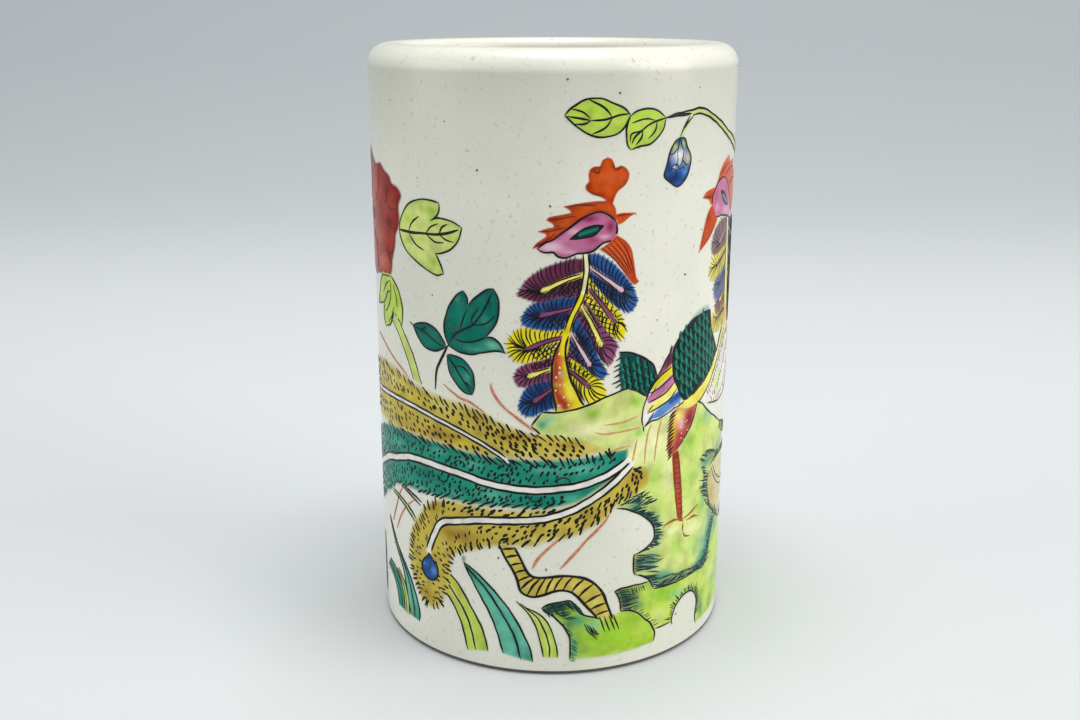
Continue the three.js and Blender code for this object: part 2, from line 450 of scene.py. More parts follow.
def rock():
    crown = [(-1.9, 56.1), (0.9, 56.1), (3.1, 56.4), (6.4, 57.2), (10, 58.6), (13.4, 59.7), (14.9, 60)]
    brow = [(14.9, 60), (17, 59.2), (19, 57.9)]
    slope = [(33.6, 53.8), (35.5, 52.8), (38.6, 50.3), (42.5, 48), (45.9, 46.1), (50, 44.9), (56, 42.6), (62, 41), (67, 38), (69.5, 33)]
    back = [(69.5, 33), (68.5, 28), (71, 23), (70, 17), (73.5, 12), (75.5, 7), (75, 3.8)]
    hollow = [(13, 35.6), (15.6, 34.9), (18.4, 33.3), (20.3, 31.8), (21.5, 30.2), (21.9, 28.6), (21.5, 27.1), (20.3, 26), (18.7, 25.3), (17.3, 25)]
    nick = [(17.3, 25), (17, 24.3), (17.1, 21.1), (17.8, 20.3)]
    throat = [(17.8, 20.3), (19, 19.9), (20.4, 18.9), (21.3, 17.7), (22, 16.3)]
    ledge = [(22, 16.3), (23.4, 16.1), (26.8, 15.9), (30.3, 15.8), (35.5, 15.9), (38.6, 15.6), (40.3, 16.8), (41.4, 19.5), (42.9, 22.8), (44.8, 25.3)]
    arm = [(20.9, 18.15), (16.5, 18.15), (14, 18), (12.9, 17.7)]
    armEnd = [(12.9, 17.7), (13.7, 16.4), (14.2, 14.9), (14.3, 13)]
    moundRight = [(14.3, 13), (15.9, 12.9), (17.8, 12.1), (19, 11.1), (19.9, 10), (21.2, 8.9), (22.1, 7.4), (22.6, 6.1), (22.4, 4.2)]
    arch = [(27.6, 6.4), (27.3, 7.6), (28.2, 9.9), (29.8, 11.3), (31.3, 12), (33.2, 12), (34.8, 11.1), (35.9, 9.5), (36.2, 8), (35.7, 5.3), (36.1, 3.4)]
    cave = [(50, 37.4), (44.5, 37.6), (41.5, 37.4), (40, 37), (39.2, 35.8), (39, 34.4), (39.4, 32.6), (40.5, 29.9), (42.5, 27.2), (44.8, 25.3),
            (47.5, 23.8), (50, 22.8), (54, 24), (57, 28), (57, 33), (54, 36.6), (50, 37.4)]
    stone = Motif("rock", step=0.34)
    stone.area("paleLime", crown, brow, [(19, 57.9), (20, 53), (33.6, 53.8)], slope, back, [(75, 3.8), (56, 3.4), (36.6, 3.6)],
               [(36.6, 3.6), (36, 12), (27, 12), (22.4, 12), (22.2, 16.5)], throat[::-1], nick[::-1], hollow[::-1],
               [(13, 35.6), (14, 38), (16, 44), (12, 47), (0, 49), (-1.4, 50.4), (-2.5, 52)], [(-2.5, 52), (-3.9, 53.3)], [(-3.9, 53.3), (-1.9, 56.1)], soft=0.3)
    farLedge = [(44.8, 25.3), (50, 22.8), (58, 22.2), (65, 20.4), (70, 17.4)]
    stone.area("midLime", arm, armEnd, moundRight[:-2], [(22.5, 7), (27.5, 7)], arch, [(36.1, 3.4), (56, 3.4), (75, 3.8)], back[-1:-4:-1],
               farLedge[::-1], ledge[::-1], [(22, 16.3), (20.9, 18.15)], soft=0.3)
    stone.pools(  # colours that run into each other
        ("cream", 8, 52.5, 8, 2.6, 0.85), ("cream", 20.5, 48.6, 6, 6, 1.0), ("cream", 15.5, 46.5, 4, 3.4, 0.9), ("leafGreen", 8, 55.5, 2.0, 1.4, 0.8),
        ("leafGreen", 16.6, 57.3, 1.7, 1.7, 0.85), ("leafGreen", 17.5, 50.6, 2, 1.3, 0.75), ("leafGreen", 13.5, 52.4, 2.4, 1.2, 0.5), ("teal", -1.8, 53.6, 1.6, 1.6, 0.9),
        ("paleTeal", -0.5, 54.8, 1.8, 1.6, 0.6), ("leafGreen", 1.5, 53.2, 2, 1.6, 0.45), ("leafGreen", 21.5, 41, 4, 4, 0.5), ("leafGreen", 31.5, 45.5, 3.4, 3.4, 0.8),
        ("midLime", 36, 47, 6, 4, 0.7), ("paleTeal", 38, 50, 4, 2, 0.6), ("leafGreen", 32, 38, 4, 6, 0.5), ("midLime", 22.5, 34, 4, 4, 0.6), ("paleLime", 30, 22.5, 7, 5, 0.9),
        ("leafGreen", 36, 30.5, 4, 2.6, 0.6), ("cream", 33, 26.5, 4, 2, 0.7), ("cream", 26.8, 27.8, 3.6, 1.2, 0.6), ("leafGreen", 28.5, 24, 3, 3, 0.55),
        ("leafGreen", 34.5, 22, 3, 3, 0.5), ("leafGreen", 27.5, 36.5, 2, 5, 0.45), ("cream", 25, 41, 2, 6, 0.6), ("leafGreen", 35, 49.5, 3, 1.6, 0.6),
        ("teal", 17, 35.4, 2.6, 1.4, 0.9), ("teal", 22, 31, 2.0, 4.5, 0.55), ("teal", 22.4, 27, 2, 2.4, 0.6), ("deepTeal", 18.4, 22.8, 2.2, 2.6, 0.9),
        ("teal", 21, 22.6, 3.2, 3, 0.8), ("deepTeal", 22.6, 18.4, 2.8, 1.8, 0.85), ("teal", 25, 18.4, 4, 2, 0.8), ("deepTeal", 28, 17, 6, 1.2, 0.75),
        ("deepTeal", 35, 16.9, 5, 1.3, 0.8), ("teal", 39, 18, 4, 2.4, 0.75), ("paleTeal", 39, 22, 6, 4, 0.6), ("teal", 38, 39.5, 4, 2.4, 0.8),
        ("deepTeal", 42, 39.6, 5, 1.8, 0.6), ("teal", 37.6, 33, 2.2, 5, 0.6), ("teal", 40.5, 27.5, 3, 3, 0.6), ("teal", 45, 23, 4, 2.6, 0.6), ("teal", 46, 41, 5, 3, 0.5),
        ("leafGreen", 44, 44, 3, 2, 0.5), ("teal", 58, 38, 5, 3, 0.5), ("teal", 60, 26, 4, 8, 0.6), ("leafGreen", 64, 34, 4, 5, 0.6), ("deepTeal", 69, 26, 3, 5, 0.6),
        ("leafGreen", 62, 14, 5, 5, 0.6), ("teal", 70, 12, 3, 8, 0.6), ("leafGreen", 50, 10, 5, 4, 0.5), ("teal", 57, 8, 4, 4, 0.5), ("blackTeal", 15.4, 15.6, 1.8, 3.2, 0.95),
        ("deepTeal", 17.4, 15.4, 2, 3, 0.8), ("teal", 18.6, 13.4, 1.5, 1.6, 0.6), ("leafGreen", 24.4, 14, 5.5, 2.6, 0.85), ("paleLime", 23.5, 9.5, 3, 3, 0.8),
        ("paleTeal", 29, 13.2, 3, 1.4, 0.5), ("paleLime", 34, 14, 3.4, 1.4, 0.7), ("teal", 38, 6.5, 1.8, 4.5, 0.7), ("midLime", 41.5, 8, 3, 4, 0.7),
        ("teal", 43.5, 5.5, 2.4, 2, 0.5), ("paleLime", 43, 13, 5, 2.6, 0.7), ("paleTeal", 46, 10, 3, 3, 0.5),
    )
    stone.area("beige", cave, soft=0.2)
    stone.band("ochre", [(40.6, 35), (41.4, 32), (43.5, 29)], 2.0, soft=0.8, strength=0.7, within="own")
    stone.pools(("paleOchre", 46, 34, 3, 2, 0.7), ("cream", 51, 27, 3, 3, 0.6), within="last")
    stone.lines(crown, brow, [(-3.9, 53.3), (-1.9, 56.1)], [(-3.9, 53.3), (-2.5, 52), (-1.6, 50.6)], slope, hollow, nick, throat, arm[::-1], armEnd, arch, width=0.46)
    stone.lines(back, ledge, farLedge[1:], cave[3:12], [(22.7, 7), (27, 7.1)], width=0.42)
    stone.lines([(42, 37.6), (44, 35), (47, 33), (51, 31.5), (55, 31)], [(41, 37.4), (43.6, 34), (47, 31.6), (52, 30)], width=0.4, ink="tealInk", taper=3)
    stone.hatch(hollow[1:8], lambda share: 18 - 40 * share, 3.0, 0.42, 0.4, spread=8)
    stone.hatch(hollow[2:9], lambda share: 8 - 20 * share, 2.2, 0.6, 0.34, spread=12)
    stone.hatch([(13.6, 36), (16, 36.2), (19, 35)], 22, 3.2, 0.36, 0.4, spread=14)
    stone.hatch([(16, 37.4), (18.4, 37.2), (21, 35)], 12, 2.6, 0.6, spread=16)
    stone.hatch([(17.2, 24.8), (17.1, 21)], -7, 4.2, 0.4, 0.38, spread=7)
    stone.hatch([(19.5, 24.5), (20, 20.5)], -7, 4.2, 0.5, spread=12)
    stone.hatch([(18.2, 20.2), (20.6, 18.6), (22, 16.6)], -10, 4.2, 0.42, 0.38, spread=9)
    stone.hatch([(22.5, 16.6), (26, 16.2), (32, 16.1), (39, 16)], 18, 2.8, 0.55, 0.36, spread=12)
    stone.hatch([(23, 18.2), (28, 17.6), (34, 17.2), (40, 17.6)], -4, 2.6, 0.8, spread=14)
    stone.hatch(farLedge[1:], 60, 1.8, 0.8, spread=14)
    stone.hatch(cave[4:11], lambda share: 172 - 60 * share, 3.6, 0.42, spread=10)
    stone.hatch([(35, 41), (38, 42), (42, 41)], -22, 3.4, 0.42, 0.38, spread=10)
    stone.hatch([(36, 39), (37, 36.5), (36.6, 33)], -14, 3.0, 0.42, spread=10)
    stone.hatch([(40, 38), (44, 38.6), (50, 38.4), (56, 37.6)], 28, 3.0, 0.42, 0.38, spread=12)
    shade = [(37, 17.4), (39.4, 19), (40.6, 22), (42, 25)]
    stone.band("teal", shade, 3.4, soft=1.4, strength=0.8, within="own")
    stone.band("deepTeal", [(x + 0.9, y - 0.4) for x, y in shade], 1.2, soft=0.8, strength=0.8, within="own")
    stone.hatch(ledge[5:], lambda share: 130 + 30 * share, 2.4, 0.42, 0.38, spread=10)
    stone.hatch(arch[1:10], lambda share: 168 - 150 * share, 2.0, 0.42, spread=10)
    stone.hatch(armEnd, -4, 4.0, 0.34, 0.38, spread=6)
    stone.hatch([(14, 17.8), (17, 17.9), (19.4, 17.9)], -70, 1.8, 0.45, 0.24)
    stone.hatch(moundRight[1:7], lambda share: 24 - 18 * share, 1.7, 0.8, 0.24)
    stone.hatch(slope[4:], lambda share: 250 - 40 * share, 2.4, 0.8, 0.26)
    stone.hatch(back, lambda share: 186 - 10 * share, 3.2, 0.7, 0.26)
    stone.lines([(10.1, 53.1), (13.5, 53.3), (17.3, 54.1)], [(8.3, 51.8), (11, 51.3), (17.7, 51.8)], [(11, 47.7), (15.7, 48.4)],
                [(17.2, 49.4), (16.5, 46.6), (16.2, 44.4)], [(20.3, 52), (19.4, 49.4), (18.9, 44)], [(22.8, 52.6), (21.9, 48.9), (21.2, 44)],
                width=0.5, ink="tan", taper=2.5)
    left = [(-1.9, 15), (0.3, 13.3), (1.8, 11.8), (3.1, 9.9), (3.8, 7.7), (3.8, 3.6)]
    top = [(-1.9, 15), (-0.1, 16), (2.1, 16.4), (3.7, 16.6), (4.6, 15.8), (5.4, 14.3), (6.5, 13.3), (8.7, 12.5), (9.9, 11.9)]
    mound = Motif("rock", step=0.34)
    mound.area("lime", top, [(9.9, 11.9), (12.4, 12.4), (14.3, 13)], moundRight, [(22.4, 4.2), (14, 3.6), (3.8, 3.6)], left[::-1], soft=0.3)
    mound.pools(("blackTeal", 1.6, 15.2, 3.4, 1.6, 0.95), ("teal", 5.2, 12.2, 2.6, 2.2, 0.8), ("teal", 4.6, 6, 1.4, 4, 0.8), ("deepTeal", 3.6, 11.5, 1.6, 2.4, 0.7),
                ("paleTeal", 8.4, 10.6, 2.4, 2, 0.6), ("midLime", 14, 12, 3.2, 1.4, 0.8), ("midLime", 19, 8.5, 2.6, 3, 0.5), ("emerald", 7, 5.5, 2.2, 2, 0.3), ("midLime", 12, 4, 8, 1, 0.7), ("leafGreen", 12, 8, 4, 3, 0.6), ("leafGreen", 17, 10.5, 3, 1.4, 0.5))
    mound.lines(left, top, moundRight, width=0.46)
    mound.hatch(top[:6], -52, 3.0, 0.28, 0.4, spread=9)
    mound.hatch([(-1, 15.1), (1, 13.6), (3, 12.4)], 10, 3.0, 0.36)
    mound.hatch(left[2:], -38, 1.9, 0.62, 0.24)
    for k in range(4):
        mound.line([(6.6 + k * 0.55, 11.4 - k * 0.3), (7.6 + k * 0.6, 9.4 - k * 0.2), (9.4 + k * 0.15, 7.4 + k * 0.5)], 0.4, taper=2)


def twistedRoot():
    low = [(-10.5, 28.2), (-9.3, 25.7), (-7.7, 23), (-6.7, 20.7), (-6.2, 18.7), (-5.1, 17.7), (-3.5, 17.4), (-1.3, 18), (0.3, 18.6), (2.1, 18.9),
           (3.7, 18.6), (4.9, 17.7), (6.5, 15.8), (8.1, 13.9), (9.4, 12.2)]
    high = [(-7.3, 28), (-6, 25.3), (-5.2, 23.6), (-4.3, 22.2), (-2.9, 21.6), (-0.4, 21.8), (2.1, 22), (4.3, 21.9), (6.5, 21.3), (8.4, 20.2), (9.6, 18.9),
            (10.6, 17.2), (11.3, 15.3), (12, 13.2), (12.6, 11.6)]
    wood = Motif("twisted_root", step=0.25)
    wood.area("ochre", low, [low[-1], high[-1]], high[::-1], [high[0], low[0]], soft=0.15)
    for x, y in ((-8, 25.5), (-5, 19.5), (0, 20), (5, 19.5), (9, 16), (11, 13)):
        wood.pool("paleOchre", x, y, 1.6, strength=0.7)
    wood.lines(low, high, width=0.66)
    a, b = run(low), run(high)
    for share in np.linspace(0.04, 0.97, 16):
        near = at(a, share)
        nearest = np.argmin(np.linalg.norm(b - near - (0.5, 0.3), axis=1)) / len(b)
        far = at(b, 0.7 * nearest + 0.3 * share)
        wood.line([near, near + (far - near) * (0.45, 0.55), far], 0.62, taper=2.4)
    for x in (10, 11, 12.1, 13):
        wood.line([(x - 0.3, 12.6), (x + 0.3, 11), (x + 1.0, 9)], 0.48, taper=2)


def grasses():
    stalk = Motif("grasses")  # a dark patch where the far grasses meet the ground
    stalk.pool("deepTeal", -38, 6.2, 2, 1.2, 0.4, within=None)
    blades = [
        ("midLime", [(-23.3, 15.3), (-21.3, 13.3), (-19.3, 9.7), (-18.3, 6.3), (-17.7, 3.4)],
                            [(-23.7, 19), (-21.3, 16), (-18.7, 12.7), (-17, 9), (-15.8, 3.8)],
                            [(-23.3, 21.3), (-22, 19.8), (-19.3, 17.3), (-16.7, 13.3), (-14.3, 9), (-13, 4.2)], 0.5),
        ("paleTeal", [(-18.3, 22.8), (-17.3, 21), (-15, 17), (-12.7, 13), (-11, 8.7), (-9.8, 4.2)],
                            [(-18.2, 22.6), (-17.7, 22), (-13.3, 18), (-9.3, 12), (-7.3, 8), (-6.2, 3.4)],
                            [(-18.3, 22.9), (-16, 21.7), (-12.7, 19), (-9.3, 15.3), (-6.7, 11.3), (-4.3, 6), (-3.7, 2.9)], 0.5),
        ("midLime", [(-7, 16.3), (-4.1, 13), (-2.6, 9.3), (-1.5, 4.1)],
                             [(-6.2, 15.8), (-2.9, 13), (-1.3, 9.9), (-0.4, 6.8), (-0.3, 4)],
                             [(-4.8, 14.9), (-1.9, 13.3), (-0.1, 10.5), (1, 6.8), (1.3, 4)], 0.38),
        ("paleTeal", [(-44, 24.5), (-40.5, 19.6), (-37, 15), (-35, 8), (-34.4, 5.6)],
                            [(-43.9, 24.8), (-39.5, 19.8), (-35.2, 14.4), (-33.2, 9), (-32.8, 5.6)],
                            [(-44, 25.2), (-41, 21.3), (-37.3, 18), (-34.3, 14.7), (-32, 10.7), (-31, 7.3), (-31.3, 5.4)], 0.6),
        ("teal", [(-47, 12.5), (-43, 11.4), (-40.6, 8.8), (-39.9, 5.6)], [(-46, 13.6), (-42, 12.2), (-39, 9.6), (-38.2, 5.6)],
                             [(-45, 14.6), (-41.4, 13.8), (-37.8, 10.4), (-36.9, 5.6)], 0.42),
        ("midLime", [(-40.5, 14), (-38.6, 12), (-37.2, 9), (-36.8, 5.4)], [(-40, 14.3), (-37.6, 12), (-36.4, 9), (-36, 5.4)],
                            [(-39.5, 14.6), (-36.8, 12.4), (-35.2, 9), (-35, 5.4)], 0.36),
        ("paleTeal", [(-66, 20), (-62, 15), (-59, 9), (-58, 4)], [(-65.8, 20.2), (-61, 15), (-57.6, 9), (-56.4, 4)],
                          [(-65.5, 20.5), (-60, 15.4), (-56.4, 9), (-55, 4)], 0.45),
        ("midLime", [(-52, 18), (-52.6, 12), (-54, 4)], [(-51.8, 18.2), (-51.6, 12), (-52.6, 4)], [(-51.6, 18), (-50.6, 12), (-51, 4)], 0.4),
    ]
    for colour, left, middle, right, width in blades:
        lime = colour == "midLime"
        blade = Motif("grasses", step=0.25)
        blade.area(colour, left, [left[-1], right[-1]], right[::-1], soft=0.25)
        blade.pool("ochre" if lime else "deepTeal", *left[0], 6, 9, 0.75)
        blade.band("cream" if lime else "emerald", middle, 0.9, soft=0.6, strength=0.4, within="own")
        blade.pool("lime" if lime else "teal", *right[-1], 3, 4, 0.7)
        blade.lines(left, right, width=width * 0.95, taper=1.5)
        blade.line(middle, width, taper=1.5)
    tip = Motif("grasses", step=0.2)
    tip.area("teal", [(-18.8, 23.9), (-18.3, 24.4), (-17.8, 23.9), (-18, 23), (-18.6, 23), (-18.8, 23.9)], soft=0.4, strength=0.8)
    stems = Motif("grasses")
    stems.band("midLime", [(-41, 32), (-37, 31.3), (-34, 30), (-31, 28.4)], 0.9, soft=0.3, strength=0.8)
    stems.lines([(-41, 32.3), (-37.5, 31.9), (-34, 30.7), (-31.2, 28.9)], [(-41, 31.8), (-37, 31), (-34, 29.6), (-31.6, 27.9)],
                [(-36.5, 34.9), (-32.7, 34.2), (-29.2, 33)], [(-36.2, 34.4), (-32.6, 33.4), (-29.6, 32.2)], width=0.5, taper=2)


def tailPlumes():
    upperEdge = [(-76, 52), (-70, 55), (-60, 57.5), (-52, 58.7), (-48, 59.4), (-43.3, 60), (-38.3, 59.7), (-34, 59), (-30, 58), (-26, 57.3), (-21.3, 56.7),
                 (-16.7, 56.3), (-13.3, 55.3), (-10.9, 54), (-7.8, 52.8), (-3.7, 51.7), (0, 51.3), (4.8, 50.6), (7.9, 49.4), (9.8, 48.4)]
    upperLow = [(-74, 45), (-66, 44.5), (-56, 46), (-48, 46.7), (-36.7, 47), (-30, 47.3), (-23.3, 47.2), (-16.7, 46.7), (-10.9, 46.3), (-4.6, 46.6), (0, 46.3),
                (4.8, 46.7), (7.9, 47.5)]
    upperQuill = [(-75, 47.5), (-66, 50), (-56, 52), (-47, 52.8), (-43.3, 53.2), (-38.3, 53.5), (-33.3, 53.5), (-28.3, 53), (-23.3, 52), (-20, 51.2),
                  (-16.7, 50.1), (-13.3, 48.7), (-10, 46.9), (-8.6, 45.9)]
    midEdge = [(-74, 30), (-66, 35), (-58, 39.5), (-50, 43.3), (-46.7, 45), (-41.7, 46.3), (-36.7, 47), (-25, 47.2), (-12, 46.4), (0, 46.4), (7.9, 46.9), (11, 47.5), (15.1, 47.7)]
    midLow = [(-72, 18), (-64, 20), (-56, 24), (-48, 28), (-45, 30.3), (-41.7, 32), (-39, 34), (-36, 34.7), (-32.7, 35.2), (-28.3, 35.3), (-24.7, 35.8),
              (-15, 36), (-7.8, 36.3), (-1.5, 36.3), (1.6, 36.9), (5, 37.7), (8.5, 39.7), (11.6, 41.6), (15.2, 44.8)]
    midQuill = [(-73, 23), (-64, 28), (-56, 32.4), (-48, 36.4), (-45, 37.9), (-42.3, 39.1), (-39, 40), (-36, 41), (-33, 41.9), (-29.5, 42.3), (-24.5, 42.3),
                (-18.3, 41.8), (-14, 41), (-10.2, 40.5), (-6, 40.2), (-2, 40.2), (1, 40.5), (4.8, 40.9), (7.9, 41.7), (11, 42.8), (13.4, 44.1), (15.3, 45.3)]
    lowOuter = [(15.1, 44.4), (11, 41.3), (6, 38.1), (1, 36.2), (-4, 36), (-9.3, 35.6), (-16, 35.6), (-21, 35.5), (-24.7, 34.8), (-26.7, 33.7), (-28.7, 32),
                (-30.3, 29.7), (-32.3, 27), (-33.7, 23.7), (-34.2, 20.3), (-33.5, 17), (-32, 14), (-30, 11.3), (-27.3, 10.3)]
    lowInner = [(16.9, 43.6), (18.8, 43.4), (20, 42.5), (19.8, 40), (17.3, 38.1), (14.1, 36.9), (11.9, 35.3), (10.4, 33.4), (7.9, 32.2), (3.5, 30.3), (-0.6, 29.7),
                (-3.7, 28.4), (-9.3, 28), (-12.7, 27.3), (-16, 26), (-18.3, 25.2), (-20.7, 23.7), (-21.5, 21.3), (-22, 18), (-23, 15), (-23.7, 13), (-24.7, 11.3), (-27.3, 10.3)]
    lowQuill = [(15.9, 44.4), (14, 42.5), (12, 40.8), (9.5, 39), (7, 37.5), (4.2, 36), (1.3, 35), (-1.5, 34.2), (-5.4, 33.7), (-9.3, 33.3), (-14.1, 32.8),
                (-17.7, 32), (-20.5, 31.3), (-23, 30.6), (-24.5, 29.2), (-25.8, 26.8), (-26.9, 24.5), (-27.4, 22.8)]
    tail = Motif("tail", step=0.34)
    upperEnd, midEnd = [(-74, 45), (-78.4, 47), (-79, 50), (-76, 52)], [(-72, 18), (-76, 21), (-77.4, 25.6), (-74, 30)]
    tail.area("ochre", upperEdge, [upperEdge[-1], upperLow[-1]], upperLow[::-1], upperEnd, soft=0.9)
    tail.pools(("paleOchre", -40, 57, 9, 2, 0.6), ("paleOchre", -22, 55.5, 6, 1.6, 0.6), ("paleOchre", -4, 47.8, 6, 1.2, 0.5), ("paleOchre", -46, 49.5, 9, 2, 0.4),
               ("paleOchre", 8, 49, 3, 1.5, 0.5), ("darkOchre", -23, 49, 7, 1.6, 0.7), ("darkOchre", -8, 51, 6, 1.5, 0.7), ("darkOchre", -34, 49, 6, 1.2, 0.5),
               ("darkOchre", 3, 49.5, 4, 1.2, 0.5), ("darkOchre", -14, 54, 4, 1.4, 0.5), ("yellow", -30, 55.5, 6, 1.2, 0.35), ("yellow", -18, 48, 4, 1, 0.35),
               ("yellow", -44, 51.5, 4, 1.4, 0.3), ("yellow", -4, 49.2, 3, 1, 0.4), within="last")
    tail.area("teal", midEdge, [midEdge[-1], midLow[-1]], midLow[::-1], midEnd, soft=0.5)
    tail.pools(("emerald", -26, 39.5, 7, 2, 0.8), ("emerald", -44, 37, 7, 3, 0.7), ("emerald", -33, 45.6, 7, 1.3, 0.7), ("emerald", -9, 45, 5, 1.3, 0.7),
               ("emerald", -2, 38, 5, 1.3, 0.8), ("emerald", 7, 40, 3, 1.5, 0.6), ("paleTeal", -12, 38.5, 4, 2, 0.7), ("paleTeal", -16, 44.5, 4, 1.4, 0.4),
               ("paleTeal", 6, 44.5, 5, 1.4, 0.7), ("paleTeal", 4, 38.4, 3, 1, 0.5), ("paleTeal", -30, 36.3, 4, 0.8, 0.5), ("deepTeal", -50, 33, 4, 3, 0.5),
               ("paleTeal", -24, 45.4, 3, 1, 0.5), ("paleTeal", -38, 43.6, 4, 1.2, 0.4), ("paleTeal", -20, 37.4, 3, 1, 0.5), ("paleTeal", -2, 44.4, 3, 1, 0.5),
               ("emerald", -64, 28, 6, 5, 0.5), within="last")
    tail.area("ochre", lowOuter, [(-27.3, 10.3), (-27.3, 10.3)], lowInner[::-1], [lowInner[0], lowOuter[0]], soft=0.7)
    tail.pools(("darkOchre", -20, 28.5, 6, 2, 0.8), ("darkOchre", -26, 32.8, 3, 1.6, 0.7), ("darkOchre", 17, 41, 3, 2, 0.7), ("paleOchre", -6, 35, 9, 0.8, 0.7),
               ("darkOchre", -28, 13, 3, 2, 0.5), ("paleOchre", -33.4, 21, 1.2, 7, 0.6), ("darkOchre", 8, 35, 4, 2, 0.4), ("paleOchre", -2, 29.6, 6, 1, 0.6),
               ("paleOchre", -24, 13.5, 1.5, 2, 0.5), within="last")
    tail.plume(upperQuill, 0.62, narrow=0.35, width=0.5)
    tail.plume(midQuill, 0.82, narrow=0.1, width=0.58)
    tail.plume(lowQuill, 0.72, width=0.55)
    tail.rows(upperLow, upperEdge, [(0.92, -40, 2.1, 0.42)], 1.5, upperQuill, keep=(0, 0.96))
    spots = [(share, -46, 0.95, 0.54) for share in (0.78, 0.67, 0.56, 0.45, 0.34, 0.23, 0.12)]
    tail.rows(upperLow, upperEdge, spots, 1.55, upperQuill, keep=(0, 0.86))
    tail.rows(upperLow, upperEdge, spots[1:6:2], 1.8, upperQuill, keep=(0.86, 0.98))
    tail.rows(midLow, midEdge, [(0.95, -36, 2.4, 0.42), (0.05, 26, 1.8, 0.42)], 1.3, midQuill, keep=(0, 0.84))
    tail.rows(midLow, midEdge, [(0.93, -72, 2.2, 0.44)], 1.3, midQuill, keep=(0.84, 0.97))
    spots = (0.85, 0.76, 0.67, 0.58, 0.4, 0.31, 0.22, 0.13)
    tail.rows(midLow, midEdge, [(share, 62, 0.85, 0.44) for share in spots], 1.35, midQuill, keep=(0, 0.84))
    tail.rows(midLow, midEdge, [(share, 32, 0.9, 0.46) for share in spots[::2]], 1.35, midQuill, keep=(0.84, 0.97))
    tail.rows(lowOuter, lowInner, [(0.92, 222, 1.9, 0.44)], 1.35, lowQuill, 0.9, (0.12, 0.56))
    tail.rows(lowOuter, lowInner, [(share, 212, 1.0, 0.52) for share in (0.8, 0.68, 0.57, 0.3, 0.18, 0.07)], 1.45, lowQuill, 0.9, (0.03, 0.56))
    tail.hatch(upperEnd, 176, 1.6, 1.0, 0.5, "ink")
    tail.hatch(midEnd, 196, 1.6, 1.0, 0.5, "ink")
    tail.rows(lowOuter, lowInner, [(0.05, 250, 1.9, 0.52)], 1.05, lowQuill, 0.9, (0.56, 0.86))
    tail.rows(lowOuter, lowInner, [(0.05, 268, 1.7, 0.5)], 1.0, lowQuill, 0.9, (0.86, 1.0))
    tail.rows(lowOuter, lowInner, [(0.95, 268, 1.5, 0.46)], 1.05, lowQuill, 0.9, (0.56, 0.99))
    tail.rows(lowOuter, lowInner, [(share, 250, 0.8, 0.42) for share in (0.2, 0.34, 0.68, 0.82)], 1.4, lowQuill, 1.2, (0.57, 0.95))
    for x, y, above in ((-32, 40.5, False), (-23, 40.2, False), (-14, 40, False), (-18.8, 43.6, True), (-9.3, 42.2, True), (-3.2, 38.8, False), (2.3, 41.9, True)):
        turn = np.radians(np.linspace(-20, 200, 9) if above else np.linspace(160, 380, 9))
        tail.line([(x + 1.25 * math.cos(t), y + 0.95 * math.sin(t)) for t in turn], 0.34, taper=0.5)
    drop = [(-27.4, 22.6), (-26.4, 21.4), (-25.1, 20.3), (-24.9, 18.4), (-26, 16.8), (-27.6, 16.5), (-29.2, 17.4), (-29.8, 19), (-29, 20.6), (-27.9, 21.6), (-27.4, 22.6)]
    bead = Motif("tail", step=0.18)
    bead.area("blue", drop, soft=0.15, rim=("darkBlue", 0.5, 0.8))
    bead.pools(("darkBlue", -28.3, 18.2, 1.6, 1.2, 0.6), ("darkBlue", -27.4, 21.3, 0.7, 1.2, 0.6), ("paleBlue", -26, 18.8, 1.1, 1.2, 0.9), ("paleBlue", -28.9, 19.8, 0.5, 0.6, 0.7))
    bead.line(drop, 0.5)
    bead.line([(-28.4, 19.2), (-27.6, 18.8), (-27, 19.6), (-26.9, 20.8)], 0.34, "tealInk")


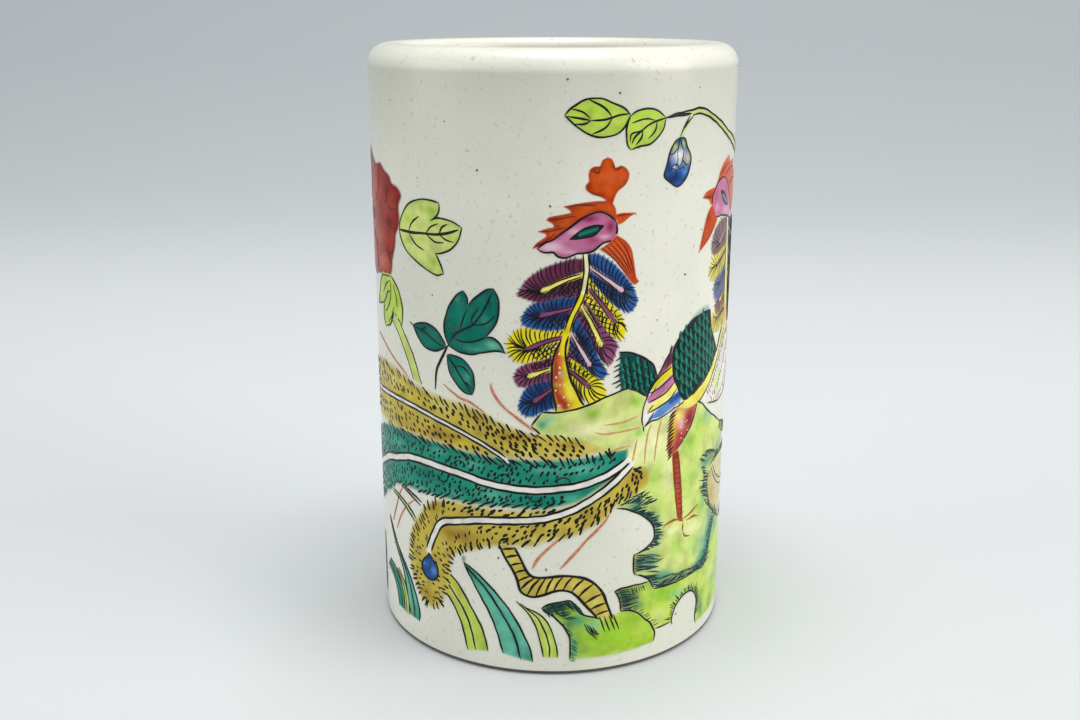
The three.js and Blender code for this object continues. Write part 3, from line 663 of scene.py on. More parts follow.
def firstBirdHead():
    comb = [(9.9, 96.2), (8.8, 96.9), (7.1, 97.5), (6.1, 98.3), (6, 99.1), (6.6, 99.8), (6.5, 100.9), (6.8, 102), (7.7, 102.5), (8.6, 102.5), (9, 103.5), (10, 104),
            (10.9, 103.7), (11.3, 102.9), (11.5, 102.1), (12.7, 102.5), (13.8, 101.9), (14.3, 100.9), (14.1, 99.7), (13.2, 98.6), (12.2, 97.9), (11.6, 96.9), (11.2, 95.7)]
    brow = [(11.9, 92.2), (10.6, 93.5), (8.8, 94.2), (6.8, 93.8), (4.7, 92.6), (2.4, 90.9), (0, 89.2), (-2.4, 87.9)]
    red = Motif("first_bird_head", step=0.2)
    red.area("orange", comb, [(11.2, 95.7), (11.8, 94.6), (11.9, 92.2)], brow, [(-2.4, 87.9), (-3.7, 87.5)], [(-3.7, 87.5), (-2.9, 88.6), (-1.2, 89.8)],
             [(-1.2, 89.8), (-1.2, 90.3), (-2.7, 90.7)], [(-2.7, 90.7), (-1.2, 91.3), (0.3, 91.6)], [(0.3, 91.6), (0, 92.2), (-1.1, 92.8)],
             [(-1.1, 92.8), (-0.6, 93.4), (1.8, 93.9), (3.4, 94.2)], [(3.4, 94.2), (2.9, 94.8), (1.9, 95.35)], [(1.9, 95.35), (4.7, 95.9), (7.7, 96.2), (9.9, 96.2)], soft=0.13,
             rim=("darkOrange", 0.55, 0.75))
    red.pools(("coral", 10.6, 100.4, 1.6, 1.8, 0.4), ("coral", 6.4, 95.2, 3, 0.7, 0.35), *[("darkOrange", *row) for row in ((6.7, 98.8, 1, 1, 0.8), (7.4, 101.8, 1, 0.8, 0.7), (9, 97.3, 1.6, 0.7, 0.6), (11, 102.6, 0.6, 0.8, 0.6),
              (10.8, 96.3, 0.8, 1, 0.7), (3.2, 95.1, 1.6, 0.6, 0.8), (0.4, 93, 1.6, 0.5, 0.7), (1, 91.6, 1, 0.6, 0.8), (-1.2, 90.8, 1.2, 0.5, 0.8), (-2.6, 88.4, 1.2, 0.7, 0.9), (8, 96, 3, 0.4, 0.5))])
    red.lines([(6.2, 98.3), (7.4, 97.6), (9.2, 97)], [(7, 102), (8.4, 101.2), (8.7, 102.4)], [(11.3, 102.8), (11.6, 101.8), (13, 102.2)], [(2.4, 95.3), (5, 95.6), (8, 95.4)],
              [(-0.8, 92.9), (2, 93.2), (4.4, 93.6)], [(-2.4, 90.8), (0, 90.9), (2.4, 91.6)], [(-3, 88), (-1.6, 88.8), (0.6, 90.4)], width=0.26, ink="deepRed")
    beak = Motif("first_bird_head", step=0.2)
    beak.area("orange", [(11.6, 93.7), (13.5, 93.9), (16.1, 93.7)], [(16.1, 93.7), (14.7, 93.1), (13.2, 92), (12.2, 91.7)], [(12.2, 91.7), (11.6, 93.7)], soft=0.12)
    beak.pool("darkOrange", 12.6, 93.4, 1.2, 0.5, 0.7)
    beak.line([(12, 93.4), (13.6, 93.5), (15.8, 93.6)], 0.22, "deepRed")
    chin = [(11.9, 92.2), (12.1, 90.7), (11.8, 89.7), (10.9, 88.9), (9.4, 88.4), (8.5, 87.8), (7.4, 87), (6, 86.7), (4.7, 86.7), (3.5, 86.2), (2.4, 85.9), (1, 86.2),
            (0.2, 86.9), (-1.2, 86.9), (-2.2, 87.2), (-2.8, 87.6)]
    top = [(-2.8, 87.6), (-1.2, 88.7), (0, 89.2), (2.4, 90.9), (4.7, 92.6), (6.8, 93.8), (8.8, 94.2), (10.6, 93.5), (11.9, 92.2)]
    head = Motif("first_bird_head", step=0.2)
    head.area("pink", top, chin, soft=0.13, rim=("magenta", 0.5, 0.5))
    head.pools(("palePink", -0.2, 87.9, 3, 1.4, 1), ("palePink", 4, 90.8, 1.6, 1, 0.6), ("magenta", 6.8, 93, 2.6, 1, 0.95), ("magenta", 10.8, 91.4, 1.4, 1.8, 1),
               ("magenta", 7.4, 89.1, 2.4, 1.1, 0.7), ("palePink", 9.6, 89.6, 1.4, 0.6, 0.6), ("palePink", 3.6, 87, 2, 0.6, 0.5), ("magenta", 2.8, 88.4, 1.6, 0.7, 0.35))
    eye = [[(3.1, 89.3), (4.1, 90), (5.9, 91.3), (7.7, 91.7), (9.6, 91.7)], [(9.6, 91.7), (8.8, 91), (7.4, 89.8), (5.3, 89.5), (3.1, 89.3)]]
    head.area("blackTeal", *eye, soft=0.12)
    head.band("teal", [(5, 90.2), (6.4, 90.6), (8.2, 91.1)], 0.6, soft=0.3, strength=0.75, within="last")
    head.lines(top, chin, width=0.44)
    head.lines(*eye, width=0.4)
    wattle = Motif("first_bird_head", step=0.2)
    wattle.area("orange", [(12, 89.9), (13.8, 88.7), (15, 87.2), (15.5, 85.4), (15.9, 83.1), (16.2, 81.6), (16.8, 80.8)], [(16.8, 80.8), (15.8, 80.2), (14.1, 81.9), (12.7, 83.9), (11.2, 85.7), (8.7, 87.3)],
                [(8.7, 87.3), (10.4, 88.4), (12, 89.9)], soft=0.15, rim=("darkOrange", 0.5, 0.6))
    wattle.pools(("coral", 13, 85.6, 1.6, 2.4, 0.5), ("darkOrange", 15.6, 82, 1, 1.6, 0.4))
    for k in range(5):
        wattle.line([(12.1 - 0.75 * k, 89.4 - 0.45 * k), (14.2 - 0.62 * k, 86.6 - 0.35 * k), (15.6 - 0.3 * k, 82.6 - 0.1 * k)], 0.3, "deepRed", taper=2)


def secondBirdNeck():
    plumes = [
        ("yellow", "mauve", [(45.8, 70.8), (43, 70.2), (41, 69.6)], [[(45.8, 72.2), (42, 72.4), (39, 71.6), (37.8, 69.6)], [(37.8, 69.6), (38.6, 67.4), (41.4, 66.8), (45.4, 68.4)]], 18),
        ("mauve", "yellow", [(45.6, 74.4), (43.6, 73.6), (42, 73)], [[(45.6, 75.8), (43, 75), (40.4, 74), (39.2, 72.4)], [(39.2, 72.4), (40.4, 70.6), (43, 70.8), (45.8, 72)]], 14),
        ("blue", "mauve", [(45.2, 78.8), (43, 77.8), (41.4, 77)], [[(45.2, 80.4), (42, 80), (39.4, 78.6), (38.2, 76)], [(38.2, 76), (39.4, 73.8), (42, 73.8), (45.4, 75.6)]], 18),
        ("yellow", "mauve", [(44.6, 83), (42, 81.8), (39.8, 80.8)], [[(45, 84.6), (41, 84), (38, 83.2), (36, 80.6)], [(36, 80.6), (36.8, 78.2), (40, 78.2), (44.6, 80)]], 20),
        ("plum", "palePink", [(44.5, 88), (42.5, 86.5), (40.6, 85)], [[(45, 89.6), (41, 89.6), (38, 88), (36.6, 85.5)], [(36.6, 85.5), (37, 83.4), (40, 83), (44.5, 84.5)]], 20),
        ("blue", "palePink", [(47.8, 73.6), (49.6, 71.8), (51.4, 69.8)], [[(47.8, 76), (50.6, 73.8), (53.2, 71), (54, 68.4)], [(54, 68.4), (52.2, 66.6), (49.4, 68.2), (47.4, 71)]], 16),
        ("yellow", "mauve", [(47.8, 78.4), (50, 76.6), (52.2, 74.6)], [[(47.6, 80.6), (51, 78.6), (54, 75.8), (55.2, 72.6)], [(55.2, 72.6), (53.6, 71), (50.4, 72.6), (47.8, 75.4)]], 18),
        ("plum", "yellow", [(47.4, 82.6), (50, 81), (52.6, 79)], [[(47, 85), (51, 83.2), (54.4, 80.6), (56, 77.6)], [(56, 77.6), (54.6, 75.8), (51, 77), (47.6, 80)]], 18),
        ("blue", "palePink", [(47, 87), (50, 85.6), (53, 84)], [[(46.4, 89.4), (50, 89), (54, 86.6), (56.4, 83.4)], [(56.4, 83.4), (55.4, 81), (51, 82), (47, 84.5)]], 20),
    ]
    for *drawn, barbs in plumes:
        feather("second_bird_neck", *drawn, barbs * 1.2, ribWidth=0.7, strength=0.8, pen=0.26)
    breast = Motif("second_bird_neck", step=0.22)
    near = [(44.9, 89), (45, 84), (45.2, 78), (45.4, 72), (44.8, 67.4)]
    far = [(49.5, 66.4), (48, 72), (47.2, 78), (46.6, 84), (46.2, 89)]
    breast.area("paleYellow", near, [(44.8, 67.4), (47, 66), (49.5, 66.4)], far, soft=0.15)
    breast.band("cream", [(45.6, 89), (45.8, 84), (46, 79)], 0.8, soft=0.3)
    breast.pool("coral", 46.6, 69.5, 1.6, 3.4, 0.8)
    breast.lines(near, far[::-1], width=0.34)


def secondBirdBody():
    side = Motif("second_bird_side", step=0.34)
    side.area("white", [(44, 63), (49.5, 66), (54, 62), (54, 55), (48, 52), (42, 51.5), (37.5, 52.6), (35.5, 54)], [(35.5, 54), (38.5, 56), (41.5, 59.2), (44, 63)], soft=0.8, strength=0.8)
    side.pools(("paleYellow", 41.5, 55.5, 3.2, 3.4, 0.9), ("palePink", 38.6, 54.4, 2.2, 2.0, 0.9), ("lime", 43.6, 56.6, 2.0, 2.6, 0.9), ("palePink", 46, 61, 2, 3.5, 0.9), ("paleYellow", 48, 64, 2, 4, 0.9))
    side.line([(46.6, 66.4), (49.5, 66.2), (53.4, 62.6), (54.2, 56.6), (50.4, 52.8), (44, 51.4), (37.5, 52.4)], 0.4)
    side.hatch([(37, 55.4), (40, 57.6), (43, 61.4), (46, 64.6), (49, 66)], -62, 1.7, 0.75, 0.28, "ink")
    side.hatch([(39, 53.6), (43, 56), (47, 60), (50, 63)], -62, 1.5, 1.0, 0.28, "ink")
    side.hatch([(38.4, 52.6), (43, 53), (48, 55), (52, 58.6)], -50, 1.5, 1.0, 0.28, "brown")
    cover = [(25.4, 67.1), (23.5, 64.4), (21.5, 61.3), (19.6, 58.6), (18.5, 55.9), (18.1, 53.6), (18.4, 51.8)]
    body = [(25.3, 66.6), (25.2, 64), (25.6, 61), (26.6, 58.8), (28, 56.2)]
    wing = Motif("second_bird_body", step=0.22)
    wing.area("white", cover, [(18.4, 51.8), (19.6, 52.2), (20.6, 53), (24, 53.2), (27.8, 55)], [(27.8, 55), (28, 56.2)], body[::-1], [(25.3, 66.6), (25.4, 67.1)], soft=0.15)
    for colour, points, width in (
        ("mauve", [(25.2, 65.8), (24, 63.8), (22, 61.9), (20.6, 60.4)], 2.6), ("plum", [(25, 64.8), (23.8, 63.2)], 1.6), ("yellow", [(25.4, 62.5), (23, 61.1), (20.4, 59.5)], 1.8),
        ("magenta", [(25.8, 60.4), (23.6, 59.2)], 2.1), ("pink", [(25, 60), (22.6, 58.6), (20, 57.2)], 2.1), ("paleYellow", [(26.4, 58.5), (23.4, 56.9), (19.8, 55.2)], 1.8),
        ("paleBlue", [(27.8, 56.5), (24.8, 55.2), (22, 53.8)], 2.3), ("blue", [(27.4, 56.8), (25, 55.8)], 1.5), ("paleBlue", [(23, 54.2), (20.2, 53)], 1.5),
    ):
        wing.band(colour, points, width, soft=0.25, narrow=0.2, within="own")
    wing.lines(cover, [(24.9, 67.2), (24.3, 65), (23.9, 63.6)], [(25.3, 63), (22.8, 61.8), (20.6, 60.2), (19.4, 58.8)], [(25.9, 61.2), (23.6, 59.9), (20.8, 58.6), (19.6, 58.4)],
               [(25.9, 59.5), (23.2, 57.6), (19.4, 56.5)], [(26.8, 58.1), (24.2, 56), (19.3, 54.3)], [(27.9, 55.1), (25.6, 54), (22.4, 52.8), (20.4, 52.6), (18.7, 51.7)],
               [(19.9, 57.7), (21.3, 59.4)], [(19.3, 54.5), (20.8, 55.9)], [(18.7, 51.7), (19.8, 52.9), (20.9, 54.4)], [(18.4, 51.9), (18.6, 50.7)], width=0.38)
    thigh = Motif("second_bird_body", step=0.22)
    thigh.area("coral", [(33.4, 53.8), (32.1, 50.3), (30.2, 48), (27.7, 45.4)], [(27.7, 45.4), (26.7, 44.7), (25.2, 43.8)], [(25.2, 43.8), (24.4, 46.5), (24.8, 50.3), (25.6, 53.6)],
               [(25.6, 53.6), (29, 54.6), (33.4, 53.8)], soft=0.25)
    thigh.pools(("paleYellow", 27.4, 52.4, 2.4, 2.4, 0.95), ("yellow", 26, 49.5, 1.2, 3, 0.7), ("red", 30.8, 51, 1.8, 1.8, 0.8), ("magenta", 31.4, 52.2, 1.2, 1.2, 0.5), ("red", 28.4, 48, 1.8, 1.4, 0.8),
                ("magenta", 27.2, 45.8, 1.4, 1.2, 0.6), ("palePink", 30, 53.6, 2, 0.8, 0.6))
    thigh.pools(("magenta", 30.4, 50.4, 2.2, 2.6, 0.6), ("palePink", 28.2, 50.4, 1.2, 1.8, 0.7), ("magenta", 27.4, 46.4, 1.6, 2, 0.6))
    for _ in range(9):
        thigh.dab(rng.uniform((27.6, 46.6), (31, 52.4)), rng.uniform(0, 180), 0.34, 0.26, "dots")
    thigh.line([(33.4, 53.8), (32.1, 50.3), (30.2, 48), (27.7, 45.7)], 0.42)
    for z in np.arange(44.1, 53.2, 0.74):
        root = 26.1 - 0.35 * math.sin((z - 43) / 3)
        thigh.line([(root + rng.uniform(0.1, 0.7), z + 0.5), (root - 0.6, z), (root - 1.5 + rng.uniform(-0.3, 0.3), z - 0.6)], 0.56, taper=1.2)
    leg = Motif("second_bird_body", step=0.22)
    leg.area("brick", [(25.9, 44.6), (26.3, 40.7), (26.9, 36.5), (27.5, 33), (28, 30.3), (28.4, 29.4)], [(28.4, 29.4), (30.2, 28.6)], [(30.2, 28.6), (29.6, 30.3), (29.3, 33), (29, 36.5), (28.4, 40.7), (27.7, 45)],
             [(27.7, 45), (25.9, 44.6)], soft=0.15)
    leg.band("coral", [(27.2, 43), (27.9, 37), (28.6, 31.5)], 0.8, soft=0.4, strength=0.45, within="own")
    for z in np.arange(31, 44, 1.15):
        x = 26.3 + (44 - z) * 0.15
        leg.line([(x, z + 0.1), (x + 0.9, z - 0.15), (x + 1.7, z + 0.1)], 0.26, "deepRed")
    leg.lines([(26, 44.4), (26.4, 40.7), (27, 36.5), (27.6, 33), (28.1, 30.3)], [(27.7, 44.8), (28.4, 40.7), (29, 36.5), (29.3, 33), (29.6, 30.2)], width=0.22, ink="deepRed")
    leg.lines([(29.6, 29.5), (27.1, 30), (24.8, 29.7), (24, 29)], [(29.8, 29.5), (32, 29.9), (34.2, 30.7), (35.6, 31)], width=0.6, ink="brown", taper=3)
    leg.lines([(30, 28.6), (29.8, 27.6), (30, 26.5)], [(30, 26.5), (30.7, 25.5), (32.5, 24.9)], [(31, 28.8), (33.4, 28.9), (35.2, 28.5)], width=0.62, ink="brown", taper=2)
    belly = Motif("second_bird_body", step=0.25)
    belly.area("paleYellow", [(26.5, 54.6), (29, 55.2), (32.5, 56.2), (36, 58), (39, 60), (41.9, 63.2), (44.6, 67.4)], [(44.6, 67.4), (46.6, 66.4)],
               [(46.6, 66.4), (45, 64.2), (43.5, 63.2), (40.8, 59.4), (37.7, 56.3), (34.6, 54), (33.5, 53.6)], [(33.5, 53.6), (30, 53.2), (26.5, 54.2)], soft=0.15)
    belly.pools(("yellow", 33, 55.4, 4, 1.2, 0.7), ("white", 42, 62.4, 2.6, 2.4, 0.4))
    belly.lines([(46.6, 66.4), (43.5, 63.2), (40.8, 59.4), (37.7, 56.3), (34.6, 54), (33.3, 53.8)], [(26.2, 54.1), (29.2, 55), (33, 56.3), (37, 58.5), (40.6, 61.6), (44.6, 67.3)], width=0.42)
    torso = Motif("second_bird_body", step=0.24)
    bodyEdge = [(34.8, 72.3), (37.3, 72.1), (37.7, 70.9), (38.5, 67.9), (40.4, 64.8), (41.3, 62.5), (38.5, 59.6), (35, 57.5), (31.5, 55.7), (29.2, 55), (28, 55.9), (26.9, 58.2),
                (25.8, 60.2), (25.4, 62.5), (25.2, 65.2), (26.2, 67.5), (28.5, 69.8), (31.5, 71.5), (34.8, 72.3)]
    torso.area("teal", [(34.6, 73.3), (36.5, 73), (36.5, 71.5), (31, 70.6), (28, 69.4), (31, 72), (34.6, 73.3)], soft=0.7, strength=0.6)
    torso.area("blackTeal", bodyEdge, soft=0.13)
    edge = outline([bodyEdge])
    for column in range(11):
        for row in range(9):
            place = np.array([26.2 + column * 1.45 + row * 0.12, 71.6 - row * 2.15 - (column % 2) * 1.05])
            if depthIn(edge, place[None])[0] > 0.55:
                torso.line([place + (-0.45, 1.25), place + (-0.5, 0.3), place + (-0.1, -0.6), place + (0.45, -1.1)], 0.98, "scale", taper=1.0)
    torso.line([(37.5, 72), *bodyEdge[:9:-1][1:]], 0.42)


def secondBirdHead():
    crest = Motif("second_bird_head", step=0.22)
    crest.area("coral", [(38.1, 97), (39.2, 99), (40.8, 100.5), (43, 101.5), (45.2, 101.9)], [(45.2, 101.9), (45.6, 100.8), (47, 100.6), (50, 100.9)], [(50, 100.9), (49.4, 99.3), (51, 98.4), (53.6, 98)],
               [(53.6, 98), (52, 96.4), (53, 94.6), (55, 93)], [(55, 93), (52, 92), (49.5, 89.8)], [(49.5, 89.8), (47.7, 91.3), (45.8, 94), (44.2, 96.3), (42.7, 97.5), (40.8, 97.9), (38.9, 97.4), (38.1, 97)], soft=0.2)
    crest.pools(("orange", 41, 99.2, 2.4, 1.4, 0.8), ("orange", 49, 96.5, 4, 3.2, 0.8), ("darkOrange", 46.5, 98.4, 2, 1, 0.4))
    crest.lines([(39.6, 98.4), (42.6, 100), (45, 100.2)], [(43, 98.4), (46.4, 99.4), (49, 99)], [(46, 96), (49, 97), (52, 96.4)], width=0.24, ink="deepRed", taper=2)
    beak = Motif("second_bird_head", step=0.2)
    beak.area("orange", [(32.6, 94.8), (33.5, 95.7), (34.6, 96.1), (37.6, 96.5)], [(37.6, 96.5), (36.9, 94.6), (36.5, 93)], [(36.5, 93), (35.4, 93.4), (35, 94.2), (32.6, 94.8)], soft=0.15)
    beak.pool("darkOrange", 35.4, 94.8, 1.6, 0.7, 0.9)
    beak.line([(33, 94.9), (35, 94.8), (36.4, 94.4)], 0.26, "deepRed")
    top = [(36.5, 93), (36.5, 94.8), (37.7, 96.3), (38.9, 97.4), (40.8, 97.9), (42.7, 97.5), (44.2, 96.3), (45.8, 94), (47.7, 91.3), (50, 88.6)]
    chin = [(50, 88.6), (48, 88.9), (44.6, 89.8), (42.7, 90.2), (40.8, 90.5), (38.9, 90.4), (37.3, 91.7), (36.5, 93)]
    head = Motif("second_bird_head", step=0.2)
    head.area("pink", top, chin, soft=0.15)
    head.pools(("palePink", 43.5, 91, 3, 1.4, 0.85), ("palePink", 38.6, 92.4, 1.2, 1, 0.5), ("magenta", 38.2, 95, 1.2, 1.6, 0.4), ("palePink", 47.6, 90, 2, 1, 0.8))
    eye = [[(40, 95.5), (41.8, 95), (43.6, 93.6), (44.9, 92)], [(44.9, 92), (43.2, 92.4), (41.6, 93.4), (40, 95.5)]]
    head.area("blackTeal", *eye, soft=0.12)
    head.band("paleTeal", [(41.4, 94.4), (42.6, 93.6), (43.8, 92.7)], 0.55, soft=0.25, strength=0.9, within="last")
    head.lines(top, chin, *eye, width=0.42)
    wattle = Motif("second_bird_head", step=0.2)
    wattle.area("orange", [(36.4, 93.2), (35.4, 92.6), (34.4, 91.4), (33.5, 89.4), (32.7, 87.1), (31.9, 84.4)], [(31.9, 84.4), (33.9, 85.5), (36.2, 87.1), (38.9, 89.9)], [(38.9, 89.9), (37.5, 91.6), (36.4, 93.2)],
                soft=0.15, rim=("darkOrange", 0.6, 0.6))
    wattle.pool("darkOrange", 35, 91, 1, 2, 0.5)
    for k in range(4):
        wattle.line([(36.3 + 0.5 * k, 92.4 - 0.6 * k), (34.4 + 0.6 * k, 89.6 - 0.5 * k), (32.7 + 0.4 * k, 86 - 0.1 * k)], 0.22, "deepRed", taper=2)


def peony():
    right = [(-48, 101.6), (-45.2, 100.2), (-42, 100.6), (-40.2, 99.6), (-38.5, 99), (-37.3, 98.4), (-36.4, 97.2), (-34.6, 96.8), (-33.3, 95.9), (-33, 94.9), (-33.8, 93.7), (-34.1, 92.5),
             (-33.9, 90.8), (-34.4, 88.7), (-35.5, 87.2), (-35.8, 85.2), (-36.7, 83.1), (-37.3, 81.6), (-37.6, 79.9), (-38.5, 78.4)]
    under = [(-38.5, 78.4), (-42, 78.1), (-45.5, 77.8), (-49, 77), (-52.5, 78), (-55.5, 76.8), (-59, 79), (-61, 82)]
    left = [(-61, 82), (-64.5, 84), (-65.4, 88), (-67, 91), (-65, 95), (-62, 97.4), (-59.6, 101), (-55.6, 101.4), (-52, 103.4), (-48, 101.6)]
    flower = Motif("peony", step=0.34)
    flower.area("red", right, under, left, soft=0.25, rim=("darkRed", 1.0, 0.7))
    flower.pools(("darkRed", -39.5, 96, 1.6, 3, 0.7), ("darkRed", -38, 89.6, 2.4, 1.8, 0.9), ("darkRed", -39, 82.6, 1.8, 1.2, 0.8), ("darkRed", -43, 91, 3, 4, 0.35), ("coral", -42, 81, 4.5, 2.4, 0.9),
                 ("coral", -44, 86, 4, 3, 0.6), ("coral", -46, 95, 4, 3, 0.5), ("coral", -51, 88, 4, 6, 0.5), ("darkRed", -55, 92, 3.4, 3.4, 0.6), ("coral", -60, 88, 3, 4, 0.7), ("coral", -56, 98, 4, 2, 0.6),
                 ("darkRed", -50, 98, 2, 3, 0.5), ("darkRed", -52, 82, 2.6, 2.6, 0.6))
    flower.lines([(-36.6, 97), (-38.6, 95.6), (-39.6, 93)], [(-34.2, 93), (-36.4, 92), (-39, 92.4)], [(-34.4, 88.8), (-37, 88.2), (-40, 89.4)], [(-36.4, 84.4), (-38.6, 83), (-40.6, 83.6)],
                 [(-37.6, 80.8), (-39, 82.4), (-39.2, 84.6)], [(-43, 100), (-43.6, 96), (-46, 92.6)], [(-46, 79), (-46.6, 83), (-49.6, 86.4)], [(-52, 102), (-51, 97), (-53.6, 92)],
                 [(-64, 95), (-59, 94), (-55.4, 91)], [(-60, 80), (-57, 84), (-53.6, 87)], [(-49.6, 92), (-51.6, 90.6), (-51, 88.4), (-48.8, 88.6), (-48.4, 90.8)], width=0.34, ink="deepRed", taper=2.5)
    calyx = Motif("peony", step=0.25)
    calyx.area("midLime", [(-38.2, 78.9), (-35.5, 76.6), (-34.4, 74.6), (-33.8, 72.2), (-34.2, 69.3), (-37, 71.1), (-38.2, 69.9), (-39.6, 68.3), (-41.9, 67.5), (-42.9, 69.3), (-42.6, 72), (-44.4, 71.8), (-47.1, 71.4), (-44.9, 75.5), (-43, 78.6)],
               [(-43, 78.6), (-38.2, 78.9)], soft=0.15)
    calyx.pools(("lime", -36, 74, 1.4, 2.6, 0.7), ("lime", -38.6, 75.4, 1.6, 2, 0.7), ("lime", -41, 69.8, 1, 1.6, 0.6), ("paleLime", -43.6, 75, 2, 1.8, 0.8), ("paleLime", -35, 71.4, 0.8, 1.4, 0.8))
    calyx.lines([(-38.2, 78.6), (-35.5, 76.6), (-34.4, 74.6), (-33.8, 72.2), (-34.2, 69.3)], [(-34.2, 69.3), (-35.5, 70.2), (-37, 71.1)], [(-38.6, 78.4), (-43.2, 77.8), (-44.9, 75.5), (-46.4, 72.2), (-47.1, 71.4)],
                [(-47.1, 71.4), (-44.4, 71.8), (-42, 72.8), (-39.8, 75.6)], [(-42.6, 72.4), (-42.9, 69.3), (-41.9, 67.5)], [(-41.9, 67.5), (-39.6, 68.3), (-38.2, 69.9), (-37.3, 71.6)], width=0.4)
    calyx.lines([(-38.7, 77.6), (-41, 76.4), (-42.8, 74.4)], [(-38.6, 75.6), (-40.4, 74.6), (-42, 72.8)], [(-38.5, 77.4), (-38.8, 74), (-40.4, 71.6), (-42, 70.6)], [(-37.3, 77), (-36.4, 75), (-35.8, 72.6)],
                [(-37.4, 72.4), (-38.4, 70.4), (-40, 68.8)], width=0.38, taper=2)
    one = [(-38.2, 69.5), (-36, 67.7), (-34.1, 65.2), (-32.3, 62.4), (-30.7, 59)]
    two = [(-34.8, 69.4), (-32.3, 66.4), (-30.4, 63.6), (-28.2, 58.4)]
    stem = Motif("peony", step=0.25)
    stem.area("paleLime", one, [one[-1], two[-1]], two[::-1], [two[0], (-36.6, 70.8), one[0]], soft=0.2)
    stem.band("lime", [(-35.8, 69), (-33, 65.4), (-29.8, 59.4)], 0.9, soft=0.5, strength=0.4, within="own")
    stem.lines(one, two, width=0.3, taper=3)
    parts = [
        [(-34.1, 88.6), (-33.5, 90.5), (-31.9, 92.8), (-29.8, 94.4), (-27.3, 95.1), (-25.1, 95.3), (-22.3, 94.9)],
        [(-22.3, 94.9), (-22.4, 93.6), (-23, 92.4), (-24.6, 91.4)],
        [(-24.6, 91.4), (-22.6, 92.1), (-19.8, 91.8), (-17.3, 90.8)],
        [(-17.3, 90.8), (-17.6, 89.6), (-18.5, 87.7), (-20.1, 86.3), (-21.9, 85.5), (-23.5, 85.3)],
        [(-23.5, 85.3), (-22.6, 83.9), (-21.6, 81.6)],
        [(-21.6, 81.6), (-23.5, 81.1), (-26.6, 82.2), (-29.8, 83.6), (-31.9, 84.9), (-33.5, 86.8), (-34.1, 88.6)],
    ]
    leaf = Motif("peony", step=0.25)
    leaf.area("paleLime", *parts, soft=0.15, rim=("lime", 0.7, 0.45))
    leaf.pools(*[("lime", *row) for row in ((-31, 91, 1.8, 1.4, 0.7), (-26, 93.6, 2.4, 1, 0.5), (-24, 93, 1.2, 1.6, 0.8), (-22, 90.8, 2, 1, 0.5), (-24, 83.4, 2, 1.4, 0.7), (-31, 87, 2, 1, 0.5),
                                            (-20, 88.6, 1.6, 1.2, 0.6), (-27, 87.6, 3, 1, 0.4))])
    leaf.lines(*parts, width=0.4)
    leaf.line([(-34.1, 88.6), (-31.3, 88.5), (-25.7, 88.8), (-21.9, 89.1), (-17.9, 90.3)], 0.62)
    leaf.lines([(-30.8, 88.7), (-29.8, 90.4), (-27.6, 91.9)], [(-30.7, 88.2), (-28.8, 86.4), (-26.3, 85.5)], [(-25.8, 88.9), (-24.6, 90.2), (-22.6, 91)], [(-25.7, 88.6), (-23.5, 87.5), (-21.3, 87.5)],
               [(-22.5, 89), (-21.8, 90.4), (-20.4, 91.1)], [(-22.5, 89), (-21, 88.2), (-19.1, 87.8)], width=0.48, taper=1.6)
    for colour, outer, ribs in (
        ("paleLime", [[(-66, 90), (-70, 94), (-76, 95), (-81, 92)], [(-81, 92), (-78, 88), (-72, 86.4), (-66, 90)]], [[(-66, 90), (-73, 91), (-80, 92)], [(-70, 90.6), (-73, 93.4)], [(-73, 91), (-75.6, 88.6)]]),
        ("lime", [[(-62, 80), (-64, 74), (-69, 70), (-74, 69.6)], [(-74, 69.6), (-73, 75), (-69, 79), (-62, 80)]], [[(-62, 80), (-67.6, 75), (-73.4, 70)], [(-66, 76.4), (-69.6, 76.8)], [(-68, 74.4), (-68.4, 71.6)]]),
    ):
        far = Motif("peony")
        far.area(colour, *outer, soft=0.2)
        far.lines(*outer, width=0.4)
        far.lines(*ribs, width=0.34)


